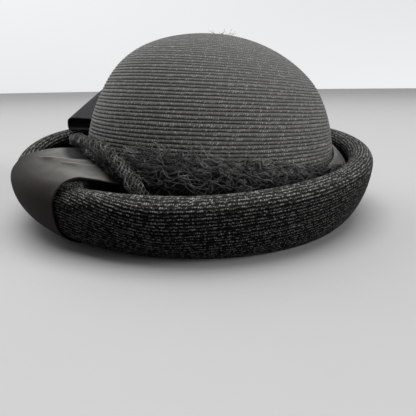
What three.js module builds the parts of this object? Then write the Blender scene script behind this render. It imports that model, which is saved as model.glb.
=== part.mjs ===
// Breton hat in black sewn straw braid: an oval dome crown, a turned-up rolled brim, a ribbon band,
// a wide ribbon wrapped over the brim, a ribbon bow loop and a crumpled net veil with a twisted end.
// Millimetres, +Z up, the hat standing on the flat ring under its brim, front towards -Y.
// Azimuth is measured in degrees from the front towards +X, the hat's left seen from the front is -X.

import * as THREE from 'three';

// Crown
const crownHalfWidth = 90;
const crownHalfLength = 97.5;
const crownEdgeZ = 9;
const domeStartZ = 12.9;
const domeHeight = 106.8;
const domePowerUp = 2.7;
const domePowerOut = 2.2;
const crownCentreX = 0.9;
const crownLeanX = -5.2;
const leanFromShare = 0.62;
const strawWall = 2.2;

// Brim
const rimCentreX = -10.3;
const rimHalfWidth = 125.8;
const rimHalfLength = 131.5;
const filletRadius = 4;
const lipTurnDeg = 205;

// One row for each section of the brim: azimuth, height of the rim, radius of the rolled lip, flat base
// width, and how square the bowl of its wall is.
const BRIM_SECTIONS = [
  { azimuth: -180, rim: 52, roll: 7.0, flat: 9.5, bowl: 2.0 },
  { azimuth: -145, rim: 52, roll: 7.0, flat: 10.5, bowl: 2.0 },
  { azimuth: -116, rim: 51, roll: 6.8, flat: 11.5, bowl: 2.0 },
  { azimuth: -100, rim: 48.8, roll: 6.6, flat: 11, bowl: 2.05 },
  { azimuth: -84, rim: 44.4, roll: 6.6, flat: 10, bowl: 2.1 },
  { azimuth: -68, rim: 38.6, roll: 6.6, flat: 8.5, bowl: 2.1 },
  { azimuth: -50, rim: 37, roll: 6.8, flat: 8.5, bowl: 2.1 },
  { azimuth: -28, rim: 37.3, roll: 7.2, flat: 12, bowl: 2.15 },
  { azimuth: 0, rim: 36.5, roll: 7.4, flat: 13, bowl: 2.2 },
  { azimuth: 30, rim: 39, roll: 7.6, flat: 11.5, bowl: 2.1 },
  { azimuth: 60, rim: 43, roll: 7.8, flat: 6.5, bowl: 1.8 },
  { azimuth: 82, rim: 46.3, roll: 7.6, flat: 5.5, bowl: 1.7 },
  { azimuth: 112, rim: 50, roll: 7.2, flat: 6.5, bowl: 1.8 },
  { azimuth: 145, rim: 51.5, roll: 7.0, flat: 8.5, bowl: 1.9 },
];

// Ribbons, band and veil
const seamGap = 0.3;
const ribbonWall = 0.9;
const facetAllowance = 0.3;
const lipAllowance = 0.46;
const bandBottomZ = 12.5;
const bandFlareAt = 88;
const bandFlareSpread = 40;
const bandFlare = 11;
const bandFlareTurn = 0.78;
const bandFlarePower = 0.85;
const bandStandOff = 0.52;
const veilBottomZ = 13.5;
const veilSkin = 1.2;
const veilClear = 0.2;
const veilRoundPower = 1.2;
const veilThinning = 0.55;
const veilBellyFrom = 0.2;
const veilBellyOver = 0.85;
const wrapTuckRise = 4;
const wrapNearPower = 16;
const wrapFarPower = 0.8;
const wrapPleatRise = 0.3;
const wrapPleatFall = 0.06;
const wrapPleatGrow = 0.25;
const wrapPleatFade = 0.4;
const wrapPleatedFrom = 0.35;
const bowDip = 1.1;
const ropeTurns = 3.2;
const ropeRidge = 0.55;

// Height of the ribbon band's upper edge by azimuth.
const BAND_TOPS = [
  { azimuth: -180, top: 42 },
  { azimuth: -120, top: 43 },
  { azimuth: -60, top: 44.5 },
  { azimuth: -25, top: 45.5 },
  { azimuth: 0, top: 44 },
  { azimuth: 25, top: 40 },
  { azimuth: 45, top: 37 },
  { azimuth: 62, top: 37.5 },
  { azimuth: 78, top: 42 },
  { azimuth: 95, top: 43.5 },
  { azimuth: 140, top: 42 },
];

// One row for each station of the wrapped ribbon, from the crown over the lip to the brim's underside:
// azimuth of the near and far edges, lift of the near and far edges off the straw.
const WRAP_ROWS = [
  { at: 'lip', turn: 98, near: -29, far: -70.5, liftNear: 4.6, liftFar: 3.2 },
  { at: 'lip', turn: 70, near: -30.2, far: -67.5, liftNear: 3.6, liftFar: 1.2 },
  { at: 'lip', turn: 42, near: -31, far: -66.5, liftNear: 2.4, liftFar: 0.3 },
  { at: 'lip', turn: 16, near: -31.8, far: -66.5, liftNear: 1.3, liftFar: 0.1 },
  { at: 'wall', turn: 84, near: -32.8, far: -67, liftNear: 0.5, liftFar: 0.3 },
  { at: 'wall', turn: 70, near: -33.8, far: -67.5, liftNear: 0.2, liftFar: 0.2 },
  { at: 'wall', turn: 56, near: -35.2, far: -68, liftNear: 0.1, liftFar: 0.1 },
  { at: 'wall', turn: 43, near: -36.7, far: -68.5, liftNear: 0.1, liftFar: 0.1 },
  { at: 'wall', turn: 31, near: -37.4, far: -69, liftNear: 0.1, liftFar: 0.1 },
  { at: 'wall', turn: 22, near: -38, far: -69.5, liftNear: 0.1, liftFar: 0.1 },
];

// Inner end of the wrapped ribbon beside the crown: azimuth, stand-off from the crown, height, and the
// rise of the ribbon between there and the lip.
const WRAP_TUCK = {
  near: { azimuth: -30, standOff: 5.9, z: 33, arch: 0.5 },
  far: { azimuth: -74, standOff: 5.3, z: 45, arch: 1.8 },
};

// Pleats of the wrapped ribbon, the back one first: place of the crest across the ribbon at the crown, how
// much further back it lies at the lip, height, and the share of the way inwards where it begins.
const WRAP_PLEATS = [
  { crest: 0.44, sweep: 0.66, height: 2.2, begins: 0.2 },
  { crest: 0.31, sweep: 0.76, height: 1.6, begins: 0.45 },
];

// Places of the wrapped ribbon's columns across it on the brim, close together at the lifted near edge.
const WRAP_COLUMNS = [0, 0.03, 0.07, 0.13, 0.22, 0.31, 0.4, 0.49, 0.58, 0.66, 0.74, 0.82, 0.89, 0.95, 1];

// Bow loop: its two edges, each from the tuck at the crown to the fold over the rim, with the rise of the
// upper and lower layers between them, and the bulge and squareness of the fold.
const BOW_EDGES = {
  near: {
    azimuth: -117,
    topZ: 55,
    lowZ: 47.5,
    foldTop: [-116.5, 44, 60],
    foldLow: [-117, 44, 50.4],
    rise: 1.2,
    lowRise: 0.8,
    bulge: 3.2,
    squareness: 0.6,
  },
  far: {
    azimuth: -150,
    topZ: 68,
    lowZ: 61,
    foldTop: [-91, 92, 88],
    foldLow: [-92, 92, 74],
    rise: 3,
    lowRise: -1.5,
    bulge: 6,
    squareness: 0.9,
  },
};

// Twisted end of the veil: centre and radius along the rope.
const ROPE_ROWS = [
  { x: -100.5, y: 33, z: 24, radius: 3.0 },
  { x: -105, y: 22, z: 37, radius: 3.1 },
  { x: -103, y: 4, z: 46, radius: 3.3 },
  { x: -91, y: -26, z: 51.3, radius: 3.9 },
  { x: -75.6, y: -57.2, z: 54, radius: 4.4 },
  { x: -61.2, y: -76.6, z: 52, radius: 4.7 },
  { x: -50.6, y: -87.1, z: 46.4, radius: 4.3 },
  { x: -44.2, y: -94, z: 40.8, radius: 4.3 },
  { x: -39.8, y: -99.2, z: 36.1, radius: 4.5 },
  { x: -36, y: -103, z: 32, radius: 4.4 },
  { x: -33.6, y: -105.6, z: 27.5, radius: 3.8 },
];

// Cross-section of the veil by azimuth: its top, and how far it bulges low in the trough.
const VEIL_ROWS = [
  { azimuth: -100, top: 38, bulge: 0.8 },
  { azimuth: -85, top: 42, bulge: 1.2 },
  { azimuth: -60, top: 45.5, bulge: 1.2 },
  { azimuth: -40, top: 48.5, bulge: 1.5 },
  { azimuth: -24, top: 53, bulge: 4.0 },
  { azimuth: -8, top: 53, bulge: 6 },
  { azimuth: 8, top: 50, bulge: 8 },
  { azimuth: 25, top: 45.5, bulge: 9 },
  { azimuth: 42, top: 40, bulge: 7.5 },
  { azimuth: 58, top: 35.5, bulge: 4 },
  { azimuth: 72, top: 31, bulge: 1.2 },
];

// Lumps of the veil round the crown: share of its bulge, waves per degree and where they start.
const VEIL_LUMPS = [
  { share: 0.1, waves: 0.21, start: 1 },
  { share: 0.08, waves: 0.47, start: 0 },
];

const RAD = Math.PI / 180;

/** Smoothly reads one column of a table at a key; a closed table repeats every 360 degrees. */
function column(rows, key, name, at, closed) {
  const n = rows.length;
  const x = (i) => {
    if (!closed) return rows[Math.min(Math.max(i, 0), n - 1)][key];
    return rows[((i % n) + n) % n][key] + 360 * Math.floor(i / n);
  };
  const y = (i) => rows[closed ? ((i % n) + n) % n : Math.min(Math.max(i, 0), n - 1)][name];
  let k = at;
  if (closed) while (k < x(0)) k += 360;
  if (closed) while (k >= x(n)) k -= 360;
  const last = closed ? n - 1 : n - 2;
  let i = 0;
  while (i < last && x(i + 1) <= k) i += 1;
  const h = x(i + 1) - x(i);
  const t = clamp((k - x(i)) / h);
  const slope = (j) => {
    const span = x(j + 1) - x(j - 1);
    return span > 0 ? (y(j + 1) - y(j - 1)) / span : 0;
  };
  const a = 2 * t ** 3 - 3 * t ** 2 + 1;
  const b = t ** 3 - 2 * t ** 2 + t;
  const c = -2 * t ** 3 + 3 * t ** 2;
  const d = t ** 3 - t ** 2;
  return a * y(i) + b * h * slope(i) + c * y(i + 1) + d * h * slope(i + 1);
}

function lerp(a, b, t) {
  return a + (b - a) * t;
}

function bump(x, centre, half) {
  return Math.exp(-(((x - centre) / half) ** 2));
}

function clamp(t) {
  return Math.min(Math.max(t, 0), 1);
}

/** Eases from 0 to 1 as t does. */
function ease(t) {
  const k = clamp(t);
  return k * k * (3 - 2 * k);
}

/** Share of the crown's full oval that is left at a height. */
function domeShare(z) {
  const t = clamp((z - domeStartZ) / domeHeight);
  return Math.max(1 - t ** domePowerUp, 0) ** (1 / domePowerOut);
}

/** Sideways place of the crown's middle at a height: the dome's top leans a little to one side. */
function crownMiddleX(z) {
  const share = (z - domeStartZ) / domeHeight;
  return crownCentreX + crownLeanX * ease((share - leanFromShare) / (1 - leanFromShare));
}

/** Point beside the crown at an azimuth and height, pushed outwards from its wall. */
function besideCrown(azimuth, z, standOff) {
  const a = azimuth * RAD;
  const k = domeShare(z);
  const hw = crownHalfWidth * k;
  const hl = crownHalfLength * k;
  const n = new THREE.Vector2(Math.sin(a) / hw, -Math.cos(a) / hl).normalize();
  const x = crownMiddleX(z) + hw * Math.sin(a) + n.x * standOff;
  return new THREE.Vector3(x, -hl * Math.cos(a) + n.y * standOff, z);
}

/** The brim's section at an azimuth: a spoke from the crown's edge to the rim, and its curve's sizes. */
function brimSection(azimuth) {
  const a = azimuth * RAD;
  const head = new THREE.Vector2(crownCentreX + crownHalfWidth * Math.sin(a), -crownHalfLength * Math.cos(a));
  const rim = new THREE.Vector2(rimCentreX + rimHalfWidth * Math.sin(a), -rimHalfLength * Math.cos(a));
  const out = rim.clone().sub(head);
  const reach = out.length();
  out.divideScalar(reach);
  const half = strawWall / 2;
  const roll = column(BRIM_SECTIONS, 'azimuth', 'roll', azimuth, true);
  const lipZ = column(BRIM_SECTIONS, 'azimuth', 'rim', azimuth, true) - roll;
  const flat = column(BRIM_SECTIONS, 'azimuth', 'flat', azimuth, true);
  const bowlPower = column(BRIM_SECTIONS, 'azimuth', 'bowl', azimuth, true);
  const wallReach = reach - half - flat;
  const place = (s, z) => new THREE.Vector3(head.x + out.x * s, head.y + out.y * s, z);
  // Each curve gives distance along the spoke and height, moved off the middle of the straw.
  const wall = (turn, off) => {
    const c = Math.cos(turn * RAD);
    const n = Math.sin(turn * RAD);
    const s = flat + wallReach * n ** (2 / bowlPower);
    const z = half + (lipZ - half) * (1 - Math.max(c, 0) ** (2 / bowlPower));
    const gs = n ** (2 - 2 / bowlPower) / wallReach;
    const gz = -(Math.max(c, 0) ** (2 - 2 / bowlPower)) / (lipZ - half);
    const g = Math.hypot(gs, gz);
    return [s + (gs / g) * off, z + (gz / g) * off];
  };
  const lip = (turn, off) => {
    const r = roll - half + off;
    return [reach - roll + r * Math.cos(turn * RAD), lipZ + r * Math.sin(turn * RAD)];
  };
  return { place, wall, lip, half };
}

/** Closed mesh from closed loops of points laid side by side; open runs get caps joining opposite points. */
function solidFromLoops(loops, closed) {
  const n = loops[0].length;
  const positions = [];
  loops.forEach((loop) => loop.forEach((p) => positions.push(p.x, p.y, p.z)));
  const index = [];
  const runs = closed ? loops.length : loops.length - 1;
  for (let i = 0; i < runs; i += 1) {
    const a = i * n;
    const b = ((i + 1) % loops.length) * n;
    for (let j = 0; j < n; j += 1) {
      const k = (j + 1) % n;
      index.push(a + j, a + k, b + k, a + j, b + k, b + j);
    }
  }
  if (!closed) {
    const end = (loops.length - 1) * n;
    for (let j = 0; j < n / 2 - 1; j += 1) {
      const o = n - 1 - j;
      index.push(j, o, o - 1, j, o - 1, j + 1);
      index.push(end + j, end + o - 1, end + o, end + j, end + j + 1, end + o - 1);
    }
  }
  return meshGeometry(positions, index);
}

/** Indexed geometry turned so that its faces look outwards. */
function meshGeometry(positions, index) {
  const kept = [];
  let volume = 0;
  const at = (i) => new THREE.Vector3(positions[3 * i], positions[3 * i + 1], positions[3 * i + 2]);
  for (let f = 0; f < index.length; f += 3) {
    const [i, j, k] = [index[f], index[f + 1], index[f + 2]];
    if (i === j || j === k || i === k) continue;
    kept.push(i, j, k);
    volume += at(i).dot(at(j).cross(at(k)));
  }
  const inward = volume < 0;
  for (let f = 0; inward && f < kept.length; f += 3) [kept[f + 1], kept[f + 2]] = [kept[f + 2], kept[f + 1]];
  const geometry = new THREE.BufferGeometry();
  geometry.setAttribute('position', new THREE.Float32BufferAttribute(positions, 3));
  geometry.setIndex(kept);
  geometry.computeVertexNormals();
  return geometry;
}

/** Sheet of even thickness from a grid of middle points: rows along the ribbon, columns across it. */
function sheetFromGrid(grid, thickness) {
  const rows = grid.length;
  const cols = grid[0].length;
  const normal = (i, j) => {
    const a = grid[Math.max(i - 1, 0)][j];
    const b = grid[Math.min(i + 1, rows - 1)][j];
    const c = grid[i][Math.max(j - 1, 0)];
    const d = grid[i][Math.min(j + 1, cols - 1)];
    return b.clone().sub(a).cross(d.clone().sub(c)).normalize();
  };
  const loops = grid.map((row, i) => {
    const top = row.map((p, j) => p.clone().addScaledVector(normal(i, j), thickness / 2));
    const low = row.map((p, j) => p.clone().addScaledVector(normal(i, j), -thickness / 2));
    return [...top, ...low.reverse()];
  });
  return solidFromLoops(loops, false);
}

function crownGeometry() {
  const around = 52;
  const rings = 13;
  const positions = [];
  const index = [];
  const ring = (z, k, cut) => {
    for (let j = 0; j < around; j += 1) {
      const a = (2 * Math.PI * j) / around;
      const x = crownMiddleX(z + cut) + (crownHalfWidth - cut) * k * Math.sin(a);
      positions.push(x, -(crownHalfLength - cut) * k * Math.cos(a), z);
    }
  };
  const skin = (cut) => {
    const list = [[crownEdgeZ, 1]];
    for (let i = 0; i < rings; i += 1) {
      const turn = ((90 * i) / rings) * RAD;
      const t = Math.sin(turn) ** (2 / domePowerUp);
      list.push([domeStartZ + (domeHeight - cut) * t, Math.cos(turn) ** (2 / domePowerOut)]);
    }
    return list;
  };
  const outer = skin(0).reverse();
  const inner = skin(strawWall);
  positions.push(crownMiddleX(domeStartZ + domeHeight), 0, domeStartZ + domeHeight);
  outer.forEach(([z, k]) => ring(z, k, 0));
  inner.forEach(([z, k]) => ring(z, k, strawWall));
  const total = outer.length + inner.length;
  positions.push(crownMiddleX(domeStartZ + domeHeight), 0, domeStartZ + domeHeight - strawWall);
  const last = 1 + total * around;
  for (let j = 0; j < around; j += 1) {
    const k = (j + 1) % around;
    index.push(0, 1 + j, 1 + k);
    for (let i = 0; i < total - 1; i += 1) {
      const a = 1 + i * around;
      const b = a + around;
      index.push(a + j, b + j, b + k, a + j, b + k, a + k);
    }
    const e = 1 + (total - 1) * around;
    index.push(last, e + k, e + j);
  }
  return meshGeometry(positions, index);
}

function brimGeometry() {
  const around = 56;
  const lipSteps = 7;
  const loops = [];
  for (let j = 0; j < around; j += 1) {
    const s = brimSection((360 * j) / around - 180);
    const side = (off) => {
      const path = [[-s.half + off, crownEdgeZ - seamGap]];
      for (const turn of [0, 30, 60, 90]) {
        const r = filletRadius - off;
        const centre = [filletRadius - s.half, filletRadius + s.half];
        path.push([centre[0] - r * Math.cos(turn * RAD), centre[1] - r * Math.sin(turn * RAD)]);
      }
      for (const turn of [0, 16, 32, 48, 64, 78]) path.push(s.wall(turn, -off));
      for (let i = 0; i <= lipSteps; i += 1) path.push(s.lip((lipTurnDeg * i) / lipSteps, -off));
      return path;
    };
    // The side facing the crown and trough, then the underside back again.
    const inside = side(s.half);
    const outside = side(-s.half).reverse();
    loops.push([...inside, ...outside].map(([d, z]) => s.place(d, z)));
  }
  return solidFromLoops(loops, true);
}

function bandTop(azimuth) {
  return column(BAND_TOPS, 'azimuth', 'top', azimuth, true);
}

/** How far the ribbon band's inner face stands off the crown. */
function bandOff(azimuth, z) {
  const top = bandTop(azimuth);
  const low = clamp((top - z) / (top - bandBottomZ));
  const flare = bandFlare * bump(azimuth, bandFlareAt, bandFlareSpread);
  return bandStandOff + flare * Math.sin(low * Math.PI * bandFlareTurn) ** bandFlarePower;
}

function bandGeometry() {
  const around = 48;
  const steps = 4;
  const loops = [];
  for (let j = 0; j < around; j += 1) {
    const azimuth = (360 * j) / around - 180;
    const inner = [];
    const outer = [];
    for (let i = 0; i <= steps; i += 1) {
      const z = lerp(bandBottomZ, bandTop(azimuth), i / steps);
      inner.push(besideCrown(azimuth, z, bandOff(azimuth, z)));
      outer.push(besideCrown(azimuth, z, bandOff(azimuth, z) + ribbonWall));
    }
    loops.push([...outer, ...inner.reverse()]);
  }
  return solidFromLoops(loops, true);
}

/** Place across the wrapped ribbon of a pleat's crest, at a share of the way inwards from the lip. */
function crestAt(pleat, inward) {
  return pleat.crest + pleat.sweep * (1 - inward) ** 2;
}

/** Height of the pleats: a slow rise to each crest, and a sharp fall behind it. */
function pleatHeight(across, inward) {
  let total = 0;
  for (const pleat of WRAP_PLEATS) {
    const past = across - crestAt(pleat, inward);
    const rise = clamp(1 + past / wrapPleatRise) ** 2;
    const fall = 1 - ease(past / wrapPleatFall);
    total += pleat.height * rise * fall * ease((inward - pleat.begins) / wrapPleatGrow);
  }
  return total * (1 - wrapPleatFade * inward);
}

/** Places of the wrapped ribbon's columns across it: as on the brim at the lip, along the pleats inwards. */
function wrapColumns(inward) {
  const [back, front] = WRAP_PLEATS.map((pleat) => crestAt(pleat, inward));
  const between = (a, b, shares) => shares.map((share) => lerp(a, b, share));
  const edge = WRAP_COLUMNS.slice(0, 4);
  const pleated = [
    ...edge,
    ...between(edge[3], front, [0.35, 0.65, 0.87, 1]),
    ...between(front + wrapPleatFall, back, [0, 0.5, 1]),
    ...between(back + wrapPleatFall, 1, [0, 0.3, 0.65, 1]),
  ];
  return WRAP_COLUMNS.map((even, j) => lerp(even, pleated[j], ease(inward / wrapPleatedFrom)));
}

function wrapGeometry() {
  const span = 7;
  const lift = strawWall / 2 + seamGap + lipAllowance + ribbonWall / 2;
  const edge = (row, v) => {
    const section = brimSection(lerp(row.near, row.far, v));
    const near = (1 - v) ** wrapNearPower * row.liftNear;
    const far = v ** wrapFarPower * row.liftFar;
    const [s, z] = section[row.at](row.turn, lift + near + far);
    return section.place(s, z);
  };
  const tuck = (v) => {
    const { near, far } = WRAP_TUCK;
    const z = lerp(near.z, far.z, v) + wrapTuckRise * Math.sin(Math.PI * v);
    return besideCrown(lerp(near.azimuth, far.azimuth, v), z, lerp(near.standOff, far.standOff, v));
  };
  const grid = [];
  for (let i = span; i > 0; i -= 1) {
    const inward = i / span;
    const row = wrapColumns(inward).map((v) => {
      const p = edge(WRAP_ROWS[0], v).lerp(tuck(v), inward);
      p.z += lerp(WRAP_TUCK.near.arch, WRAP_TUCK.far.arch, v) * Math.sin(Math.PI * inward);
      p.z += pleatHeight(v, inward);
      return p;
    });
    grid.push(row);
  }
  WRAP_ROWS.forEach((station) => grid.push(WRAP_COLUMNS.map((v) => edge(station, v))));
  return sheetFromGrid(grid, ribbonWall);
}

function bowGeometry() {
  const across = 8;
  const span = 5;
  const grid = [];
  const { near, far } = BOW_EDGES;
  const standOff = seamGap + facetAllowance + ribbonWall / 2;
  const size = (name, v) => lerp(near[name], far[name], v);
  const mix = (name, v) => new THREE.Vector3(...near[name]).lerp(new THREE.Vector3(...far[name]), v);
  const station = (pick) => {
    const row = [];
    for (let j = 0; j <= across; j += 1) row.push(pick(j / across));
    grid.push(row);
  };
  const tuck = (zName) => (v) => besideCrown(size('azimuth', v), size(zName, v), standOff);
  const top = tuck('topZ');
  const low = tuck('lowZ');
  for (let i = 0; i < span; i += 1) {
    station((v) => {
      const p = top(v).lerp(mix('foldTop', v), i / span);
      p.z += size('rise', v) * Math.sin((Math.PI * i) / span);
      p.z -= bowDip * Math.sin(Math.PI * v) * (1 - i / span);
      return p;
    });
  }
  // The fold itself: a soft-cornered turn from the upper layer down to the lower one.
  for (const turn of [0, 22, 45, 68, 90, 112, 135, 158, 180]) {
    station((v) => {
      const a = mix('foldTop', v);
      const b = mix('foldLow', v);
      const c = Math.cos(turn * RAD);
      const up = Math.sign(c) * Math.abs(c) ** size('squareness', v);
      const out = a.clone().sub(top(v)).setZ(0).normalize();
      const p = a.clone().lerp(b, (1 - up) / 2);
      return p.addScaledVector(out, size('bulge', v) * Math.sin(turn * RAD) ** size('squareness', v));
    });
  }
  for (let i = 1; i <= span; i += 1) {
    station((v) => {
      const p = mix('foldLow', v).lerp(low(v), i / span);
      p.z += size('lowRise', v) * Math.sin((Math.PI * i) / span);
      return p;
    });
  }
  return sheetFromGrid(grid, ribbonWall);
}

function veilGeometry() {
  const around = 40;
  const steps = 5;
  const loops = [];
  for (let j = 0; j <= around; j += 1) {
    const azimuth = lerp(VEIL_ROWS[0].azimuth, VEIL_ROWS[VEIL_ROWS.length - 1].azimuth, j / around);
    const top = column(VEIL_ROWS, 'azimuth', 'top', azimuth, false);
    const bulge = column(VEIL_ROWS, 'azimuth', 'bulge', azimuth, false);
    const lump = VEIL_LUMPS.reduce((sum, l) => sum + l.share * Math.sin(azimuth * l.waves + l.start), 1);
    const inner = [];
    const outer = [];
    for (let i = 0; i <= steps; i += 1) {
      const t = i / steps;
      const z = lerp(veilBottomZ, top, t);
      const base = bandOff(azimuth, z) + ribbonWall + seamGap + veilClear;
      const turn = Math.PI * Math.min(veilBellyFrom + veilBellyOver * t, 1);
      const belly = Math.sin(turn) ** veilRoundPower;
      const round = belly * (1 - veilThinning * t);
      const thick = veilSkin + bulge * lump * round;
      inner.push(besideCrown(azimuth, z, base));
      outer.push(besideCrown(azimuth, z, base + thick));
    }
    loops.push([...outer, ...inner.reverse()]);
  }
  return solidFromLoops(loops, false);
}

function ropeGeometry() {
  const along = 30;
  const around = 12;
  const line = new THREE.CatmullRomCurve3(ROPE_ROWS.map((r) => new THREE.Vector3(r.x, r.y, r.z)));
  const loops = [];
  for (let i = 0; i <= along; i += 1) {
    const t = i / along;
    const p = line.getPoint(t);
    const ahead = line.getTangent(t);
    const side = new THREE.Vector3(0, 0, 1).cross(ahead).normalize();
    const up = ahead.clone().cross(side).normalize();
    const place = t * (ROPE_ROWS.length - 1);
    const k = Math.min(Math.floor(place), ROPE_ROWS.length - 2);
    const radius = lerp(ROPE_ROWS[k].radius, ROPE_ROWS[k + 1].radius, place - k);
    const loop = [];
    for (let j = 0; j < around; j += 1) {
      const a = (2 * Math.PI * (j + 0.5)) / around;
      const r = radius + ropeRidge * (Math.cos(2 * a + 2 * Math.PI * ropeTurns * t) - 1);
      loop.push(p.clone().addScaledVector(side, r * Math.cos(a)).addScaledVector(up, r * Math.sin(a)));
    }
    loops.push(loop);
  }
  return solidFromLoops(loops, false);
}

const PIECES = [
  { name: 'crown', make: crownGeometry, colour: 0x1d1c1a, roughness: 0.62 },
  { name: 'brim', make: brimGeometry, colour: 0x181715, roughness: 0.62 },
  { name: 'hat_band', make: bandGeometry, colour: 0x26241f, roughness: 0.55 },
  { name: 'ribbon_wrap', make: wrapGeometry, colour: 0x2a2723, roughness: 0.5 },
  { name: 'bow_loop', make: bowGeometry, colour: 0x26262a, roughness: 0.5 },
  { name: 'veil_band', make: veilGeometry, colour: 0x121213, roughness: 0.8 },
  { name: 'veil_twist', make: ropeGeometry, colour: 0x141415, roughness: 0.8 },
];

const hat = new THREE.Group();
hat.name = 'breton_hat';
const geometries = PIECES.map((piece) => piece.make());
const box = new THREE.Box3();
geometries.forEach((g) => box.union(new THREE.Box3().setFromBufferAttribute(g.getAttribute('position'))));
const middle = box.getCenter(new THREE.Vector3());
PIECES.forEach((piece, i) => {
  // The origin is the middle of the box that holds the hat, on the surface it stands on.
  geometries[i].translate(-middle.x, -middle.y, -box.min.z);
  const { colour, roughness } = piece;
  const material = new THREE.MeshStandardMaterial({ color: colour, roughness, metalness: 0 });
  const mesh = new THREE.Mesh(geometries[i], material);
  mesh.name = piece.name;
  hat.add(mesh);
});

export default hat;
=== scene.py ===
"""Black sewn-straw breton hat with ribbon and net veil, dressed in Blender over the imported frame.

Lengths are millimetres in the hat's own frame (front towards -Y, azimuth in degrees from the front
towards +X) until a mesh is made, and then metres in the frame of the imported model.
"""

import logging
import math
from dataclasses import dataclass
from enum import Enum
from typing import Sequence, Union

import bpy
import numpy as np
from mathutils import Matrix, Vector


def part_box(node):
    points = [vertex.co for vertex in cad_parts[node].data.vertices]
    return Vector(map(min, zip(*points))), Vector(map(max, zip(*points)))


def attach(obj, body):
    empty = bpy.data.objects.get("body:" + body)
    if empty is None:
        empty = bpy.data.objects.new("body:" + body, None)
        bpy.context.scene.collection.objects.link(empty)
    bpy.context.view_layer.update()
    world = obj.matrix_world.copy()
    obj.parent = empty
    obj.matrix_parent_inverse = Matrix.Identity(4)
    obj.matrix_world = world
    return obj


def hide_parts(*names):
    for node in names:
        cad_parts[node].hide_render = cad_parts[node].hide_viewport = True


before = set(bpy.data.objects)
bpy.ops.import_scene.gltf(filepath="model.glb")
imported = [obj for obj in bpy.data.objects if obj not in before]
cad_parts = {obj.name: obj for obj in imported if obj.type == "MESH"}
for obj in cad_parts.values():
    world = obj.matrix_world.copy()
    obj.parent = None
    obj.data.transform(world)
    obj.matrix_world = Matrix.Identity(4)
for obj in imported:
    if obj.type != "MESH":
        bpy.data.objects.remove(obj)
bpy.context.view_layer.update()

Array = np.ndarray
Range = tuple[float, float]
Size = tuple[float, float]
Place = tuple[float, float, float]
Colour = tuple[float, float, float]
# A ramp goes from a low to a high input and from a start to an end value.
Ramp = tuple[float, float, float, float]
# A profile is the places of the rings within a sewn row, each with its share of the relief.
Profile = tuple[tuple[float, float], ...]
# Waves are the shortest and the longest length, and the height.
Waves = tuple[float, float, float]
EVEN: Ramp = (0.0, 1.0, 1.0, 1.0)
NONE: Ramp = (0.0, 1.0, 0.0, 0.0)
MM = 0.001
TINY = 1e-9
SHORTEST_THREAD = 4
FULL_TURN = 2 * math.pi
CROWN_CENTRE_X = 0.9
# No thread runs this way, so each one's sides can be measured from it.
THREAD_SIDE = np.array([0.31, 0.42, 0.85])
PLAIT_MAP = "plait"
BODY = "root"
LOG = logging.getLogger("breton_hat")


class Slot(Enum):
    """Material slots of the record."""

    STRAW = "straw"
    RIBBON = "ribbon"
    VEIL = "veil"


class Hold(Enum):
    """How a cut sheet of ribbon is held."""

    STRETCHED = "stretched"
    FOLDED = "folded"


def lerp(a: Array, b: Array, t: Array) -> Array:
    """Goes from a to b as t goes from 0 to 1."""
    return a + (b - a) * t


def smooth(x: Array, low: float, high: float) -> Array:
    """Eases from 0 at low to 1 at high."""
    t = np.clip((x - low) / (high - low), 0.0, 1.0)
    return t * t * (3 - 2 * t)


def hump(x: Array, centre: float, half: float) -> Array:
    """Bell curve of height 1."""
    return np.exp(-(((x - centre) / half) ** 2))


def unit(vectors: Array) -> Array:
    """Vectors made one long."""
    return vectors / np.maximum(np.linalg.norm(vectors, axis=-1, keepdims=True), TINY)


def cubic(x: Array, y: Array, slope: Array, at: Array) -> Array:
    """Smooth curve through points.

    Args:
        x: Rising keys of the points.
        y: Value or row of values at each key.
        slope: Slope at each key.
        at: Keys to read the curve at.

    Returns:
        The curve's value at each key.
    """
    i = np.clip(np.searchsorted(x, at, side="right") - 1, 0, len(x) - 2)
    h = x[i + 1] - x[i]
    t = np.clip((at - x[i]) / h, 0.0, 1.0)
    if y.ndim > 1:
        h, t = h[:, None], t[:, None]
    bend = (t**3 - 2 * t**2 + t) * slope[i] + (t**3 - t**2) * slope[i + 1]
    return lerp(y[i], y[i + 1], 3 * t**2 - 2 * t**3) + h * bend


def column(rows: Sequence, name: str, at: Array, ring: bool = False) -> Array:
    """Reads one column of a table smoothly.

    Args:
        rows: Table rows, each with a rising field "at".
        name: Field to read.
        at: Keys to read the column at.
        ring: Whether the table repeats every 360 degrees.

    Returns:
        The column's value at each key.
    """
    x = np.array([row.at for row in rows], float)
    y = np.array([getattr(row, name) for row in rows], float)
    at = np.asarray(at, float)
    if ring:
        at = (at - x[0]) % 360 + x[0]
        x = np.concatenate([x - 360, x, x + 360])
        y = np.tile(y, 3)
    slope = np.gradient(y, x)
    slope[1:-1] = (y[2:] - y[:-2]) / (x[2:] - x[:-2])
    return cubic(x, y, slope, at)


def along(points: Array) -> Array:
    """Distance walked down a line, or each column of a grid, from 0."""
    steps = np.linalg.norm(np.diff(points, axis=0), axis=-1)
    return np.concatenate([np.zeros((1, *steps.shape[1:])), np.cumsum(steps, axis=0)])


def spline(points: Array, count: int, finer: int = 8) -> Array:
    """Evenly spaced points on a smooth curve through the given ones.

    Args:
        points: Rows of coordinates that the curve passes through.
        count: Number of points to return.
        finer: Points of the measured curve for each of them.

    Returns:
        Points of the curve, ends included.
    """
    key = along(points)
    fine = cubic(key, points, np.gradient(points, key, axis=0), np.linspace(0, key[-1], finer * count))
    walked = along(fine)
    even = np.linspace(0, walked[-1], count)
    return np.stack([np.interp(even, walked, fine[:, k]) for k in range(points.shape[1])], axis=1)


def spline_grid(rough: Array, count: int) -> Array:
    """Evens out each column of a grid of points."""
    return np.stack([spline(rough[:, j], count) for j in range(rough.shape[1])], axis=1)


def closed(grid: Array) -> Array:
    """Repeats a grid's first column after its last."""
    return np.concatenate([grid, grid[:, :1]], axis=1)


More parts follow.
